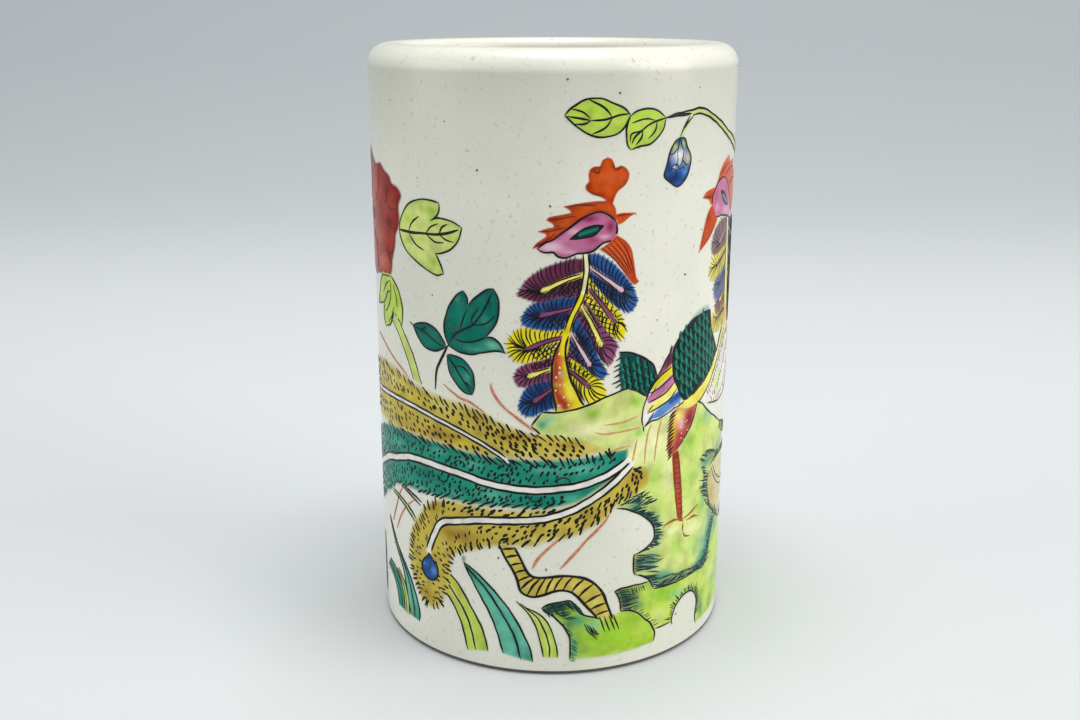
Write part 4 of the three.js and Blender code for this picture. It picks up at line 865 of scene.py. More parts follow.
def tealLeaves():
    big = [
        [(-20.9, 67.7), (-21.8, 70.8), (-21.3, 73.6), (-20.1, 76.1), (-18.5, 78), (-17.3, 78.9)], [(-17.3, 78.9), (-16.5, 77.7), (-16.3, 76)], [(-16.3, 76), (-14.8, 77.7), (-12.6, 79.3), (-11, 79.8)],
        [(-11, 79.8), (-10.1, 77.7), (-10.1, 74.9), (-11, 72.4), (-12.7, 70.3)], [(-12.7, 70.3), (-11.3, 70.3), (-9.8, 69.1), (-8.8, 67.4)], [(-8.8, 67.4), (-10.1, 67.8), (-12.6, 67.4), (-15.7, 66.6), (-18.5, 66.8), (-20.9, 67.7)],
    ]
    sprig = Motif("teal_leaves", step=0.22)
    sprig.area("emerald", *big, soft=0.13, rim=("deepTeal", 0.7, 0.6))
    sprig.pools(("deepTeal", -19.6, 70, 1.6, 2.4, 0.7), ("deepTeal", -12, 76.6, 1, 2.4, 0.6), ("teal", -17, 74.6, 2, 2.4, 0.6), ("teal", -13, 73.6, 1.4, 1.4, 0.6), ("paleTeal", -11.2, 68.8, 2.6, 1.3, 1.0), ("paleTeal", -15, 67.8, 3, 0.9, 0.7),
                ("teal", -15, 68.4, 2.6, 0.9, 0.8), ("paleTeal", -18.6, 77.2, 0.9, 1.2, 0.4))
    sprig.lines(*big, width=0.42)
    sprig.lines([(-20.7, 68.2), (-18.8, 70.5), (-15.4, 72.4), (-13.2, 75.2), (-11.3, 78.9)], [(-19.4, 69.2), (-17.3, 68.9), (-14.8, 69.3), (-12.6, 70.3)], width=0.44, taper=1.6)
    sprig.lines([(-15.4, 72.4), (-15.4, 73.9), (-14.1, 75.8)], [(-15.3, 72.3), (-12.6, 73), (-10.7, 74.6)], [(-18, 71), (-17.4, 73.4), (-16.4, 75.4)], width=0.38, taper=1.6)
    left = [[(-21.4, 67.4), (-23.5, 70.2), (-25.7, 71.1), (-28.2, 71), (-30.4, 70.2)], [(-30.4, 70.2), (-28.8, 68), (-26.9, 66.4), (-24.4, 66), (-22.6, 66.6), (-21.4, 67.4)]]
    second = Motif("teal_leaves", step=0.22)
    second.area("emerald", *left, soft=0.13, rim=("deepTeal", 0.6, 0.6))
    second.pools(("deepTeal", -28, 69.8, 2, 1, 0.7), ("teal", -25, 67.4, 2, 0.9, 0.5))
    second.lines(*left, width=0.42)
    second.lines([(-30.2, 70.1), (-27, 69.4), (-24, 68), (-21.8, 67)], [(-27.6, 69.7), (-26.4, 70.6)], width=0.4, taper=1.6)
    second.line([(-31.4, 70.6), (-30.2, 70.2)], 0.26)
    low = [[(-21.3, 65.7), (-20.4, 65.9), (-18.5, 65.7), (-16.6, 64.6), (-15.4, 62.7), (-15.2, 60.5), (-15.6, 58.5)], [(-15.6, 58.5), (-17.3, 58.8), (-19.1, 60.2), (-20.7, 62.4), (-21.3, 65.7)]]
    third = Motif("teal_leaves", step=0.22)
    third.area("emerald", *low, soft=0.13, rim=("deepTeal", 0.6, 0.6))
    third.pools(("teal", -18.4, 61.6, 1.6, 2.4, 0.6), ("paleTeal", -16.6, 62, 0.9, 2, 0.4))
    third.lines(*low, width=0.34)
    third.lines([(-21.1, 65.7), (-19.4, 63.6), (-17.4, 60.9), (-15.8, 58.8)], [(-19.4, 63.8), (-17.6, 63.8), (-16, 62.4)], [(-17.6, 61), (-16.6, 60.6), (-15.9, 59.6)], width=0.38, taper=1.6)
    third.line([(-20.6, 68), (-21.3, 67.1), (-22.9, 64.3), (-24, 61.8), (-24.4, 58.2)], 0.58, taper=2)


def upperBranch():
    leaves = [
        ([[(2.1, 111.5), (3.6, 113), (6.1, 114.3), (8.6, 114.4), (11.1, 113.5), (13.2, 112.5), (14.3, 111.4)], [(14.3, 111.4), (13.2, 109.3), (11.4, 108), (8.9, 107.6), (6.4, 108.2), (4.3, 109.6), (2.1, 111.5)]],
                            [[(14.3, 111.6), (12.5, 111.5), (10.7, 111), (8.6, 110.6), (6.8, 110.6)], [(3.4, 112.6), (5.4, 112.1), (6.8, 110.9)], [(2.5, 111.4), (4.6, 111), (6.8, 110.6)], [(3.9, 110), (5.7, 110), (6.8, 110.5)],
                             [(6.4, 114.3), (8.6, 113.2), (10, 112.1), (10.7, 111.2)], [(10.7, 110.9), (9.6, 109.3), (7.1, 108.2)]],
                            [("lime", 7, 112.4, 2.4, 1.2, 0.9), ("lime", 8, 109, 2, 0.9, 0.5)]),
        ([[(14.3, 111.2), (15.7, 112.1), (17.9, 112.4), (20, 111.9), (21.8, 110.7)], [(21.8, 110.7), (21.3, 108.7), (20, 107.1), (18.2, 106), (16.1, 105.7), (14.5, 105.2)], [(14.5, 105.2), (13.8, 106.2), (13.5, 108.4), (13.8, 110), (14.3, 111.2)]],
                            [[(21.8, 110.6), (19.6, 110.1), (17.9, 109.4), (16.4, 108.5), (14.6, 108), (14.3, 106.6)], [(19.3, 110.3), (17.1, 110.6), (14.6, 109.9)], [(19.8, 110), (19.5, 108.5), (18, 107)],
                             [(16.8, 108.5), (16.6, 107.3), (15.4, 106)], [(17.2, 108.9), (15.4, 107.6), (14.6, 106.2)]],
                            [("lime", 17, 111.2, 2.4, 0.9, 0.5), ("lime", 15.4, 107.2, 1.4, 1.4, 0.6)]),
        ([[(60, 100), (63, 103), (68, 104), (72, 102)], [(72, 102), (70, 98.6), (65, 97.4), (60, 100)]], [[(60, 100), (66, 101), (71.6, 102)], [(64, 100.6), (66.6, 103)], [(66, 101), (67.6, 98.6)]], [("lime", 66, 102, 3, 1.4, 0.6)]),
        ([[(56, 101.4), (57.6, 96), (61, 92.6), (64, 91.6)], [(64, 91.6), (63.4, 95.6), (60.6, 99.4), (56, 101.4)]], [[(56, 101.4), (59.8, 96.6), (63.6, 92)], [(58.4, 98.4), (61.2, 97.4)], [(60, 96.4), (60, 93.8)]], [("lime", 60, 96, 2, 2.4, 0.6)]),
    ]
    for outer, ribs, pools in leaves:
        leaf = Motif("branch", step=0.22)
        leaf.area("midLime", *outer, soft=0.13, rim=("lime", 0.7, 0.5))
        leaf.pools(*pools)
        leaf.lines(*outer, width=0.4)
        leaf.lines(*ribs, width=0.44, taper=1.4)
    twig = Motif("branch", step=0.25)
    twig.band("midLime", [(25.4, 111), (28, 111.4), (31, 111.4), (35.7, 109.8), (40, 107.8), (46.4, 104.9), (52, 102.8), (60, 100)], 0.9, soft=0.2, strength=0.8)
    twig.band("midLime", [(29, 110.8), (27.2, 109), (25.7, 107.2)], 0.7, soft=0.2, strength=0.7)
    twig.lines([(21.8, 110.5), (24.3, 111.2), (27.9, 111.6), (30.4, 111.9), (32.5, 111.6), (35.7, 110.3), (39.3, 108.7), (42.9, 106.9), (46.4, 105.7), (50, 104.2), (55, 102.4), (60, 100)],
               [(28.6, 110.7), (30.4, 110.9), (32.9, 110.4), (35.7, 109.3), (39.3, 107.5), (42.9, 105.7), (46.4, 104.1), (50, 102.6), (55, 101.2), (60, 99.8)], width=0.46, taper=2)
    twig.line([(21.8, 110.6), (24.6, 110.9), (28.2, 111)], 0.75, taper=2)
    twig.lines([(27.9, 110.6), (26.5, 108.9), (25.4, 107)], [(28.9, 110.6), (27.3, 109.4), (26.5, 108.4)], width=0.34)
    outer = [(25.4, 106.9), (24.3, 106.2), (23.2, 104.8), (22.5, 102.6), (21.9, 100.9), (21.9, 99.8), (23.6, 98.5), (25.2, 97.8), (26.8, 98.7), (28, 100.5), (28.5, 102.3), (28.2, 103.7), (27.3, 105.1), (26.6, 106.6), (25.4, 106.9)]
    bud = Motif("branch", step=0.16)
    bud.area("blue", outer, soft=0.12, rim=("darkBlue", 0.5, 0.7))
    bud.pools(("white", 25.2, 103.6, 2.4, 2.0, 0.98), ("darkBlue", 24.2, 99.4, 3, 1.6, 0.9), ("darkBlue", 23, 101.8, 0.8, 1.6, 0.8), ("paleBlue", 23.8, 102.6, 0.8, 0.9, 0.7),
              ("white", 24.2, 101.4, 0.6, 0.5, 0.6), ("paleBlue", 26.9, 100.6, 0.9, 1.1, 0.9), ("blue", 25.4, 98.4, 1.6, 0.5, 0.6), ("white", 25.3, 102.2, 0.5, 0.5, 0.6),
              ("beige", 27.6, 102.9, 0.9, 1.6, 0.95), ("midLime", 24.2, 105.2, 0.9, 0.9, 0.9), ("midLime", 26.3, 105.6, 0.7, 1, 0.9))
    bud.line(outer, 0.36)
    bud.lines([(25.4, 106.9), (25, 105.3), (24.8, 103.9)], [(25.4, 106.6), (26, 105.2), (26.5, 104.4)], [(22.9, 103.9), (23.8, 104), (24.8, 104.9)], [(24.8, 103.9), (25, 102.4), (24.4, 101.4)],
              [(22.3, 100.6), (23.6, 101.2), (24.6, 100.8), (24.8, 99.6)], [(23.4, 101.4), (24, 102), (25, 101.8), (25.4, 101)], [(26.5, 104.4), (26.2, 102.6), (25.6, 101.6)], [(26, 103), (27, 101.8), (27.8, 101.6)],
              [(25.4, 101), (26.4, 101.4), (26.9, 100.6)], width=0.26, taper=0.8)


def ironSpecks():
    specks = Motif("glaze_specks")
    for x, y in ((2.7, 117.8), (-14, 101.5), (28, 80.7), (-1, 23.4), (-10.6, 25.2), (-0.4, 95.4), (12.2, 115.3)):
        specks.dab(np.array([x, y]), rng.uniform(0, 180), 0.3, 0.5, "speck")
    for _ in range(70):
        specks.dab(rng.uniform((-117, 2), (117, 119)), rng.uniform(0, 180), 0.2, rng.uniform(0.16, 0.34), "speck")


for paintPart in (
    ironSpecks, firstBirdBody, firstBirdNeck, strayPlumes, peony, tealLeaves, upperBranch, rock, grasses,
    tailPlumes, twistedRoot, firstBirdHead, secondBirdBody, secondBirdNeck, secondBirdHead,
):
    paintPart()
print("picture drawn:", len(picture), "motifs,", sum(len(s) for m in picture for s in m.strokes.values()), "lines")


# Shader maths as expressions.
class Wire:
    def __init__(self, bench, socket):
        self.bench = bench
        self.socket = socket

    def maths(self, operation, first, second):
        return self.bench.node("ShaderNodeMath", {"operation": operation}, first, second)

    def __add__(self, other):
        return self.maths("ADD", self, other)

    def __mul__(self, other):
        return self.maths("MULTIPLY", self, other)

    def __rsub__(self, other):
        return self.maths("SUBTRACT", other, self)

    def __gt__(self, other):
        return self.maths("GREATER_THAN", self, other)

    __radd__ = __add__
    __rmul__ = __mul__


class Bench:  # a material being made
    def __init__(self, name):
        self.material = bpy.data.materials.new(name)
        self.material.use_nodes = True
        self.tree = self.material.node_tree
        self.shader = self.tree.nodes["Principled BSDF"]

    def node(self, kind, settings, *values, out=0, **named):
        made = self.tree.nodes.new(kind)
        for key, value in settings.items():
            setattr(made, key, value)
        for key, value in [*enumerate(values), *named.items()]:
            self.feed(made.inputs[key], value)
        return Wire(self, made.outputs[out])

    def feed(self, socket, value):
        if isinstance(value, Wire):
            self.tree.links.new(value.socket, socket)
        else:
            socket.default_value = value

    def surface(self, **sockets):
        for key, value in sockets.items():
            self.feed(self.shader.inputs[key.replace("_", " ")], value)
        return self.material

    def place(self):
        return self.node("ShaderNodeTexCoord", {}, out="Object")

    def noise(self, where, scale, detail=3.0, roughness=0.5):
        return self.node("ShaderNodeTexNoise", {}, Vector=where, Scale=scale, Detail=detail, Roughness=roughness)

    def mix(self, share, first, second, way="MIX"):
        made = self.tree.nodes.new("ShaderNodeMix")
        made.data_type = "RGBA"
        made.blend_type = way
        for socket, value in ((made.inputs[0], share), (made.inputs[6], first), (made.inputs[7], second)):
            self.feed(socket, value)
        return Wire(self, made.outputs[2])

    def span(self, value, low, high):  # 0 at low and 1 at high, and held there
        return self.node("ShaderNodeMapRange", {"clamp": True}, value, low, high, 0.0, 1.0)


def glazeColour(bench):
    where = bench.place()
    clouds = bench.noise(where, 24.0, 3.0)
    base = bench.mix(bench.span(clouds, 0.35, 0.65), linear(glaze["pale"]), linear(glaze["grey"]))
    stretched = bench.node("ShaderNodeMapping", {}, Vector=where, Scale=(1.0, 1.0, 0.12))
    streak = bench.span(bench.noise(stretched, 160.0, 3.0), 0.5, 0.8)
    base = bench.mix(streak * 0.25, base, linear(glaze["grey"]))
    fine = bench.span(bench.noise(where, 1100.0, 2.0, 0.6), 0.62, 0.74)
    base = bench.mix(fine * 0.3, base, linear(glaze["speck"]))
    dots = bench.node("ShaderNodeTexVoronoi", {}, Vector=where, Scale=190.0)
    pick = bench.node("ShaderNodeSeparateColor", {}, Wire(bench, dots.socket.node.outputs["Color"]))
    near = bench.span(dots, 0.11, 0.05)
    base = bench.mix(near * (pick > glaze["speckShare"]) * 0.8, base, linear(glaze["speck"]))
    height = bench.node("ShaderNodeSeparateXYZ", {}, where, out="Z")  # painted shade: the wall is made greyer just under the rim, as the rim's shadow
    return bench.mix(bench.span(height, 0.096, 0.118) * bench.span(height, 0.1196, 0.1186) * 0.46, base, linear(glaze["thinAndShade"]))


def ripples(bench):
    return bench.node("ShaderNodeBump", {}, Strength=0.12, Distance=0.0005, Height=bench.noise(bench.place(), 55.0, 2.0))


def glazeMaterial():
    bench = Bench("glaze")
    return bench.surface(Base_Color=glazeColour(bench), Roughness=glaze["roughness"], Specular_IOR_Level=glaze["shine"], Normal=ripples(bench))


def clayMaterial():
    bench = Bench("bare clay")
    grit = bench.noise(bench.place(), 1500.0, 4.0, 0.6)
    colour = bench.mix(bench.span(grit, 0.4, 0.7), linear(glaze["darkFoot"]), linear(glaze["speck"]))
    return bench.surface(Base_Color=colour, Roughness=0.7, Normal=bench.node("ShaderNodeBump", {}, Strength=0.4, Distance=0.0002, Height=grit))


def washMaterial():  # the tint comes multiplied by its cover, so it is added to what shows of the glaze
    bench = Bench("enamel wash")
    cover = bench.node("ShaderNodeAttribute", {"attribute_name": "cover"}, out="Fac")
    tint = bench.node("ShaderNodeAttribute", {"attribute_name": "tint"}, out="Color")
    where = bench.place()
    black = (0.0, 0.0, 0.0, 1.0)
    thinAndShade = bench.span(bench.noise(where, 300.0, 3.0), 0.5, 0.8) * 0.05
    deep = bench.span(bench.noise(where, 330.0, 2.0), 0.42, 0.72) * 0.28
    under = bench.mix(cover * (1 - thinAndShade), glazeColour(bench), black)
    colour = bench.mix(1.0, under, bench.mix(thinAndShade + deep, tint, black), "ADD")
    return bench.surface(Base_Color=colour, Roughness=glaze["roughness"], Specular_IOR_Level=0.09, Normal=ripples(bench))


def inkMaterial(name, dark, light):
    bench = Bench(name)
    wear = bench.noise(bench.place(), 1400.0, 2.0)
    colour = bench.mix(bench.span(wear, 0.4, 0.75), linear(dark), linear(light))
    return bench.surface(Base_Color=colour, Roughness=0.3, Specular_IOR_Level=0.18)


# Trees.
class Grove:  # a geometry node tree being made
    def __init__(self, name, **sockets):
        self.tree = bpy.data.node_groups.new(name, "GeometryNodeTree")
        for key, kind in sockets.items():
            self.tree.interface.new_socket(key.replace("_", " "), in_out="INPUT", socket_type="NodeSocket" + kind)
        self.tree.interface.new_socket("Result", in_out="OUTPUT", socket_type="NodeSocketGeometry")
        self.given = self.add("NodeGroupInput")

    def add(self, kind, settings=None, **values):
        made = self.tree.nodes.new(kind)
        for key, value in (settings or {}).items():
            setattr(made, key, value)
        for key, value in values.items():
            socket = made.inputs[int(key[1:])] if key[1:].isdigit() else made.inputs[key.replace("_", " ")]
            if isinstance(value, bpy.types.NodeSocket):
                self.tree.links.new(value, socket)
            else:
                socket.default_value = value
        return made.outputs

    def maths(self, operation, a, b=0.0):
        return self.add("ShaderNodeMath", {"operation": operation}, i0=a, i1=b)[0]

    def finish(self, shape, material):
        real = self.add("GeometryNodeRealizeInstances", None, Geometry=shape)[0]
        done = self.add("GeometryNodeSetMaterial", None, Geometry=real, Material=material)[0]
        self.tree.links.new(done, self.tree.nodes.new("NodeGroupOutput").inputs[0])
        return self.tree


def wheelTree():  # turns an outline, drawn as radius and height, about the upright axis
    grove = Grove("potter's wheel", Outline="Geometry", Sides="Int", Glaze="Material")
    given, add, maths = grove.given, grove.add, grove.maths
    reach, up, _ = add("ShaderNodeSeparateXYZ", None, Vector=add("GeometryNodeInputPosition")[0])
    kept = given["Outline"]
    for key, value in (("reach", reach), ("up", up)):
        settings = {"data_type": "FLOAT", "domain": "POINT"}
        kept = add("GeometryNodeStoreNamedAttribute", settings, Geometry=kept, Name=key, Value=value)[0]
    circle = add("GeometryNodeCurvePrimitiveCircle", {"mode": "RADIUS"}, Resolution=given["Sides"], Radius=1.0)[0]
    level = add("GeometryNodeSetCurveNormal", {"mode": "Z_UP"}, Curve=circle)[0]
    swept = add("GeometryNodeCurveToMesh", None, Curve=level, Profile_Curve=kept)[0]
    x, y, _ = add("ShaderNodeSeparateXYZ", None, Vector=add("GeometryNodeInputPosition")[0])
    angle = maths("ARCTAN2", y, x)
    reach, up = (add("GeometryNodeInputNamedAttribute", {"data_type": "FLOAT"}, Name=key)[0] for key in ("reach", "up"))
    wide = maths("MULTIPLY", reach, maths("COSINE", angle))
    deep = maths("MULTIPLY", reach, maths("SINE", angle))
    spot = add("ShaderNodeCombineXYZ", None, X=wide, Y=deep, Z=up)[0]
    thrown = add("GeometryNodeSetPosition", None, Geometry=swept, Position=spot)[0]
    welded = add("GeometryNodeMergeByDistance", None, Geometry=thrown, Distance=0.000001)[0]
    outwards = add("GeometryNodeFlipFaces", None, Mesh=welded)[0]
    smooth = add("GeometryNodeSetShadeSmooth", None, Geometry=outwards)[0]
    return grove.finish(smooth, given["Glaze"])


def brushTree():  # sweeps a low rounded line along flat strokes and bends it round the wall
    sizes = {key: "Float" for key in ("Wall_Radius", "Line_Middle", "Line_Half", "Line_Depth")}
    grove = Grove("enamel brush line", Strokes="Geometry", **sizes, Enamel="Material")
    given, add, maths = grove.given, grove.add, grove.maths
    circle = add("GeometryNodeCurvePrimitiveCircle", {"mode": "RADIUS"}, Resolution=6, Radius=1.0)[0]
    _, rise, _ = add("ShaderNodeSeparateXYZ", None, Vector=add("GeometryNodeInputPosition")[0])
    settings = {"data_type": "FLOAT", "domain": "POINT"}
    kept = add("GeometryNodeStoreNamedAttribute", settings, Geometry=circle, Name="rise", Value=rise)[0]
    level = add("GeometryNodeSetCurveNormal", {"mode": "Z_UP"}, Curve=given["Strokes"])[0]
    thick = add("GeometryNodeInputRadius")[0]
    swept = add("GeometryNodeCurveToMesh", None, Curve=level, Profile_Curve=kept, Scale=thick, Fill_Caps=True)[0]
    x, y, z = add("ShaderNodeSeparateXYZ", None, Vector=add("GeometryNodeInputPosition")[0])
    share = maths("ABSOLUTE", add("GeometryNodeInputNamedAttribute", {"data_type": "FLOAT"}, Name="rise")[0])
    share = maths("MULTIPLY", share, maths("SIGN", z))
    above = maths("MULTIPLY", maths("MAXIMUM", share, 0.0), given["Line Half"])
    below = maths("MULTIPLY", maths("MINIMUM", share, 0.0), given["Line Depth"])
    height = maths("ADD", maths("ADD", above, below), given["Line Middle"])
    reach = maths("ADD", given["Wall Radius"], height)
    angle = maths("DIVIDE", x, given["Wall Radius"])
    wide = maths("MULTIPLY", maths("MULTIPLY", reach, maths("SINE", angle)), mm)
    deep = maths("MULTIPLY", maths("MULTIPLY", reach, maths("COSINE", angle)), -mm)
    spot = add("ShaderNodeCombineXYZ", None, X=wide, Y=deep, Z=maths("MULTIPLY", y, mm))[0]
    laid = add("GeometryNodeSetPosition", None, Geometry=swept, Position=spot)[0]
    smooth = add("GeometryNodeSetShadeSmooth", None, Geometry=laid)[0]
    return grove.finish(smooth, given["Enamel"])


def grown(name, curve, tree, **values):  # the plain mesh that a tree makes from a curve
    source = bpy.data.objects.new(name, curve)
    bpy.context.scene.collection.objects.link(source)
    modifier = source.modifiers.new(name, "NODES")
    modifier.node_group = tree
    for item in tree.interface.items_tree:
        key = item.name.replace(" ", "_")
        if key in values:
            modifier[item.identifier] = values[key]
    mesh = bpy.data.meshes.new_from_object(source.evaluated_get(bpy.context.evaluated_depsgraph_get()))
    source.modifiers.remove(modifier)
    bpy.data.objects.remove(source)
    return mesh


def place(name, mesh):
    made = bpy.data.objects.new(name, mesh)
    bpy.context.scene.collection.objects.link(made)
    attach(made, "root")
    return made


def polyCurve(name, paths):
    curve = bpy.data.curves.new(name, "CURVE")
    curve.dimensions = "3D"
    for path, radii in paths:
        spline = curve.splines.new("POLY")
        spline.points.add(len(path) - 1)
        flat = np.zeros((len(path), 4), np.float32)
        flat[:, :2] = path
        flat[:, 3] = 1
        spline.points.foreach_set("co", flat.ravel())
        spline.points.foreach_set("radius", np.broadcast_to(radii, len(path)).astype(np.float32))
    return curve


# The pot itself: radius, height and rounding of each corner of its outline, from the foot's middle.
pot = {
    "corners": [(0, 3, 0), (29, 3, 0.8), (29, 0, 0.5), (wallRadius, 0, 0.9), (wallRadius, potHeight, 4), (29.8, potHeight, 2.2),
                (29.8, 117.2, 0.6), (31, 116, 1.2), (31, 8, 2.5), (0, 8, 0)],
    "sides": 256,
    "glazeLine": 0.75,
    "sharp": 40.0,
}


def potOutline():
    corners = [np.array(c[:2], float) for c in pot["corners"]]
    out = [corners[0]]
    for before, corner, after, (_, _, radius) in zip(corners, corners[1:], corners[2:], pot["corners"][1:]):
        one, two = before - corner, after - corner
        one, two = one / np.linalg.norm(one), two / np.linalg.norm(two)
        half = math.acos(np.clip(one @ two, -1, 1)) / 2
        reach = radius / math.tan(half)
        start, end = corner + one * reach, corner + two * reach
        middle = corner + (one + two) / np.linalg.norm(one + two) * radius / math.sin(half)
        first, last = start - middle, end - middle
        steps = max(3, int(radius * 4))
        turn = math.acos(np.clip(first @ last / radius**2, -1, 1))
        for k in range(steps + 1):
            t = k / steps
            out.append(middle + (math.sin((1 - t) * turn) * first + math.sin(t * turn) * last) / math.sin(turn))
    out.append(corners[-1])
    filled = []
    for a, b in zip(out, out[1:]):
        length = np.linalg.norm(b - a)
        shares = [0] if length < 1.5 else [0, 0.3 / length, *np.arange(1, length - 1, 5) / length, 1 - 0.3 / length]
        filled += [a + (b - a) * share for share in shares]
    return np.array([*filled, out[-1]])


def makePot():
    outlineCurve = polyCurve("pot outline", [(potOutline() * mm, 1.0)])
    mesh = grown("pot_body", outlineCurve, wheelTree(), Sides=pot["sides"], Glaze=glazeMaterial())
    mesh.materials.append(clayMaterial())
    for face in mesh.polygons:
        spot = face.center / mm
        if spot.z < pot["glazeLine"] and spot.xy.length > 28:
            face.material_index = 1
    for key in ("reach", "up"):
        mesh.attributes.remove(mesh.attributes[key])
    mesh.set_sharp_from_angle(angle=math.radians(pot["sharp"]))
    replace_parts(place("pot_body", mesh), "wall", "base")


# Laying the picture on the wall.
def onWall(flat, height):  # places on the wall, in metres
    angle = flat[:, 0] / wallRadius
    reach = wallRadius + height
    return np.stack([reach * np.sin(angle), -reach * np.cos(angle), flat[:, 1]], -1) * mm


def inBox(places, low, high):
    return np.where(((places >= low) & (places <= high)).all(1))[0]


def boxOf(motif):
    return np.min([layer[1] for layer in motif.layers], 0), np.max([layer[2] for layer in motif.layers], 0)


def coverOf(motif, places):  # how much of each place a motif's own enamel hides
    cover = np.zeros(len(places))
    for _, low, high, share, within in motif.layers:
        near = inBox(places, low, high)
        if within is None and len(near):
            cover[near] += (1 - cover[near]) * share(places[near])
    return cover


def gridOver(low, high, step):
    count = np.ceil((high - low) / step).astype(int) + 2
    lines = [low[i] + np.arange(count[i]) * step for i in (0, 1)]
    return np.stack(np.meshgrid(*lines, indexing="ij"), -1).reshape(-1, 2), count


def paint(index, places):  # the colour of all enamels up to this motif, multiplied by how much they cover
    cover, body = np.zeros(len(places)), np.zeros((len(places), 3))
    for motif in picture[: index + 1]:
        if not motif.layers or not len(inBox(places, *boxOf(motif))):
            continue
        own, last = np.zeros(len(places)), np.zeros(len(places))
        for colour, low, high, share, within in motif.layers:
            if within is None:
                last[:] = 0
            near = inBox(places, low, high)
            if not len(near):
                continue
            amount = share(places[near])
            whole = np.ones(len(near))
            if within is None:
                last[near] = amount
                own[near] += (1 - own[near]) * amount
            else:
                amount = amount * (last if within == "last" else own)[near]
                whole = cover[near]
            tone = np.array(linear(enamel[colour]))[:3]
            body[near] += (tone * whole[:, None] - body[near]) * amount[:, None]
            if within is None:
                cover[near] += (1 - cover[near]) * amount
    return body, cover


def stackUp():  # an enamel lies one level above the highest one that it covers
    cell = 0.5
    corner = np.array([-125.0, -2.0])
    levels = np.zeros((500, 262), int)
    for motif in picture:
        if motif.layers:
            low, high = boxOf(motif)
            first = np.floor((low - corner) / cell).astype(int)
            last = np.ceil((high - corner) / cell).astype(int) + 1
            block = levels[first[0] : last[0], first[1] : last[1]]
            cells = (np.indices(block.shape).reshape(2, -1).T + first) * cell + corner
            covered = (coverOf(motif, cells) > 0).reshape(block.shape)
            motif.level = 1 + int(block[covered].max(initial=0))
            block[covered] = motif.level


def washOf(index):  # a thin closed sheet: places, quads, how many quads are its top, paint and cover
    motif = picture[index]
    places, count = gridOver(*boxOf(motif), motif.step)
    own = coverOf(motif, places)
    number = np.arange(len(places)).reshape(count)
    quads = np.stack([number[:-1, :-1], number[1:, :-1], number[1:, 1:], number[:-1, 1:]], -1).reshape(-1, 4)
    used, back = np.unique(quads[(own[quads] > 0.01).any(1)], return_inverse=True)
    quads, places, own = back.reshape(-1, 4), places[used], own[used]
    body, cover = paint(index, places)
    press = np.clip(own / 0.08, 0, 1)
    full = heights["foot"] + heights["level"] * motif.level + heights["body"] * np.sqrt(cover)
    height = press * full + (1 - press) * heights["sunk"]
    n = len(places)
    edges = np.concatenate([quads[:, [k, (k + 1) % 4]] for k in range(4)])
    _, first, times = np.unique(np.sort(edges, 1), axis=0, return_index=True, return_counts=True)
    rim = edges[first[times == 1]]
    sides = np.stack([rim[:, 1], rim[:, 0], rim[:, 0] + n, rim[:, 1] + n], -1)
    shape = np.vstack([onWall(places, height), onWall(places, np.full(n, heights["under"]))])
    return shape, np.vstack([quads, quads[:, ::-1] + n, sides]), len(quads), np.tile(body, (2, 1)), np.tile(cover, 2)


def makeMesh(name, places, quads, smooth):
    mesh = bpy.data.meshes.new(name)
    mesh.vertices.add(len(places))
    mesh.vertices.foreach_set("co", places.astype(np.float32).ravel())
    mesh.loops.add(quads.size)
    mesh.loops.foreach_set("vertex_index", quads.astype(np.int32).ravel())
    mesh.polygons.add(len(quads))
    mesh.polygons.foreach_set("loop_start", np.arange(0, quads.size, 4, dtype=np.int32))
    mesh.polygons.foreach_set("use_smooth", smooth)
    mesh.update(calc_edges=True)
    return mesh


def layWashes(piece, material):
    parts = [washOf(i) for i, motif in enumerate(picture) if motif.piece == piece and motif.layers]
    if not parts:
        return
    starts = np.cumsum([0] + [len(part[0]) for part in parts])
    quads = np.vstack([part[1] + start for part, start in zip(parts, starts)])
    smooth = np.concatenate([np.arange(len(part[1])) < part[2] for part in parts])
    mesh = makeMesh(piece + "_enamel", np.vstack([part[0] for part in parts]), quads, smooth)
    body = np.vstack([part[3] for part in parts])
    tint = np.hstack([body, np.ones((len(body), 1))]).astype(np.float32)
    cover = np.concatenate([part[4] for part in parts]).astype(np.float32)
    mesh.attributes.new("cover", "FLOAT", "POINT").data.foreach_set("value", cover)
    mesh.attributes.new("tint", "FLOAT_COLOR", "POINT").data.foreach_set("color", tint.ravel())
    mesh.materials.append(material)
    place(piece + "_enamel", mesh)


def shownParts(index, strokes):  # the parts of a motif's lines that no later motif covers
    places = np.vstack([path for path, _ in strokes])
    shown = np.ones(len(places))
    for motif in picture[index + 1 :]:
        if motif.layers:
            shown *= 1 - coverOf(motif, places)
    out, start = [], 0
    for path, radii in strokes:
        hidden = shown[start : start + len(path)] < 0.5
        start += len(path)
        for part in np.split(np.arange(len(path)), np.where(np.diff(hidden))[0] + 1):
            if not hidden[part[0]] and len(part) > 1:
                out.append((path[part], radii[part]))
    return out


def drawLines(piece, brush, looks):
    for ink, look in looks.items():
        shown = []
        for index, motif in enumerate(picture):
            if motif.piece == piece and ink in motif.strokes:
                shown += shownParts(index, motif.strokes[ink])
        if shown:
            name = piece + "_" + ink
            sizes = {"Line_Middle": heights["lineMiddle"], "Line_Half": heights["lineHalf"], "Line_Depth": heights["lineDepth"]}
            sizes["Wall_Radius"] = wallRadius
            mesh = grown(name, polyCurve(name, shown), brush, Enamel=look, **sizes)
            mesh.attributes.remove(mesh.attributes["rise"])
            place(name, mesh)


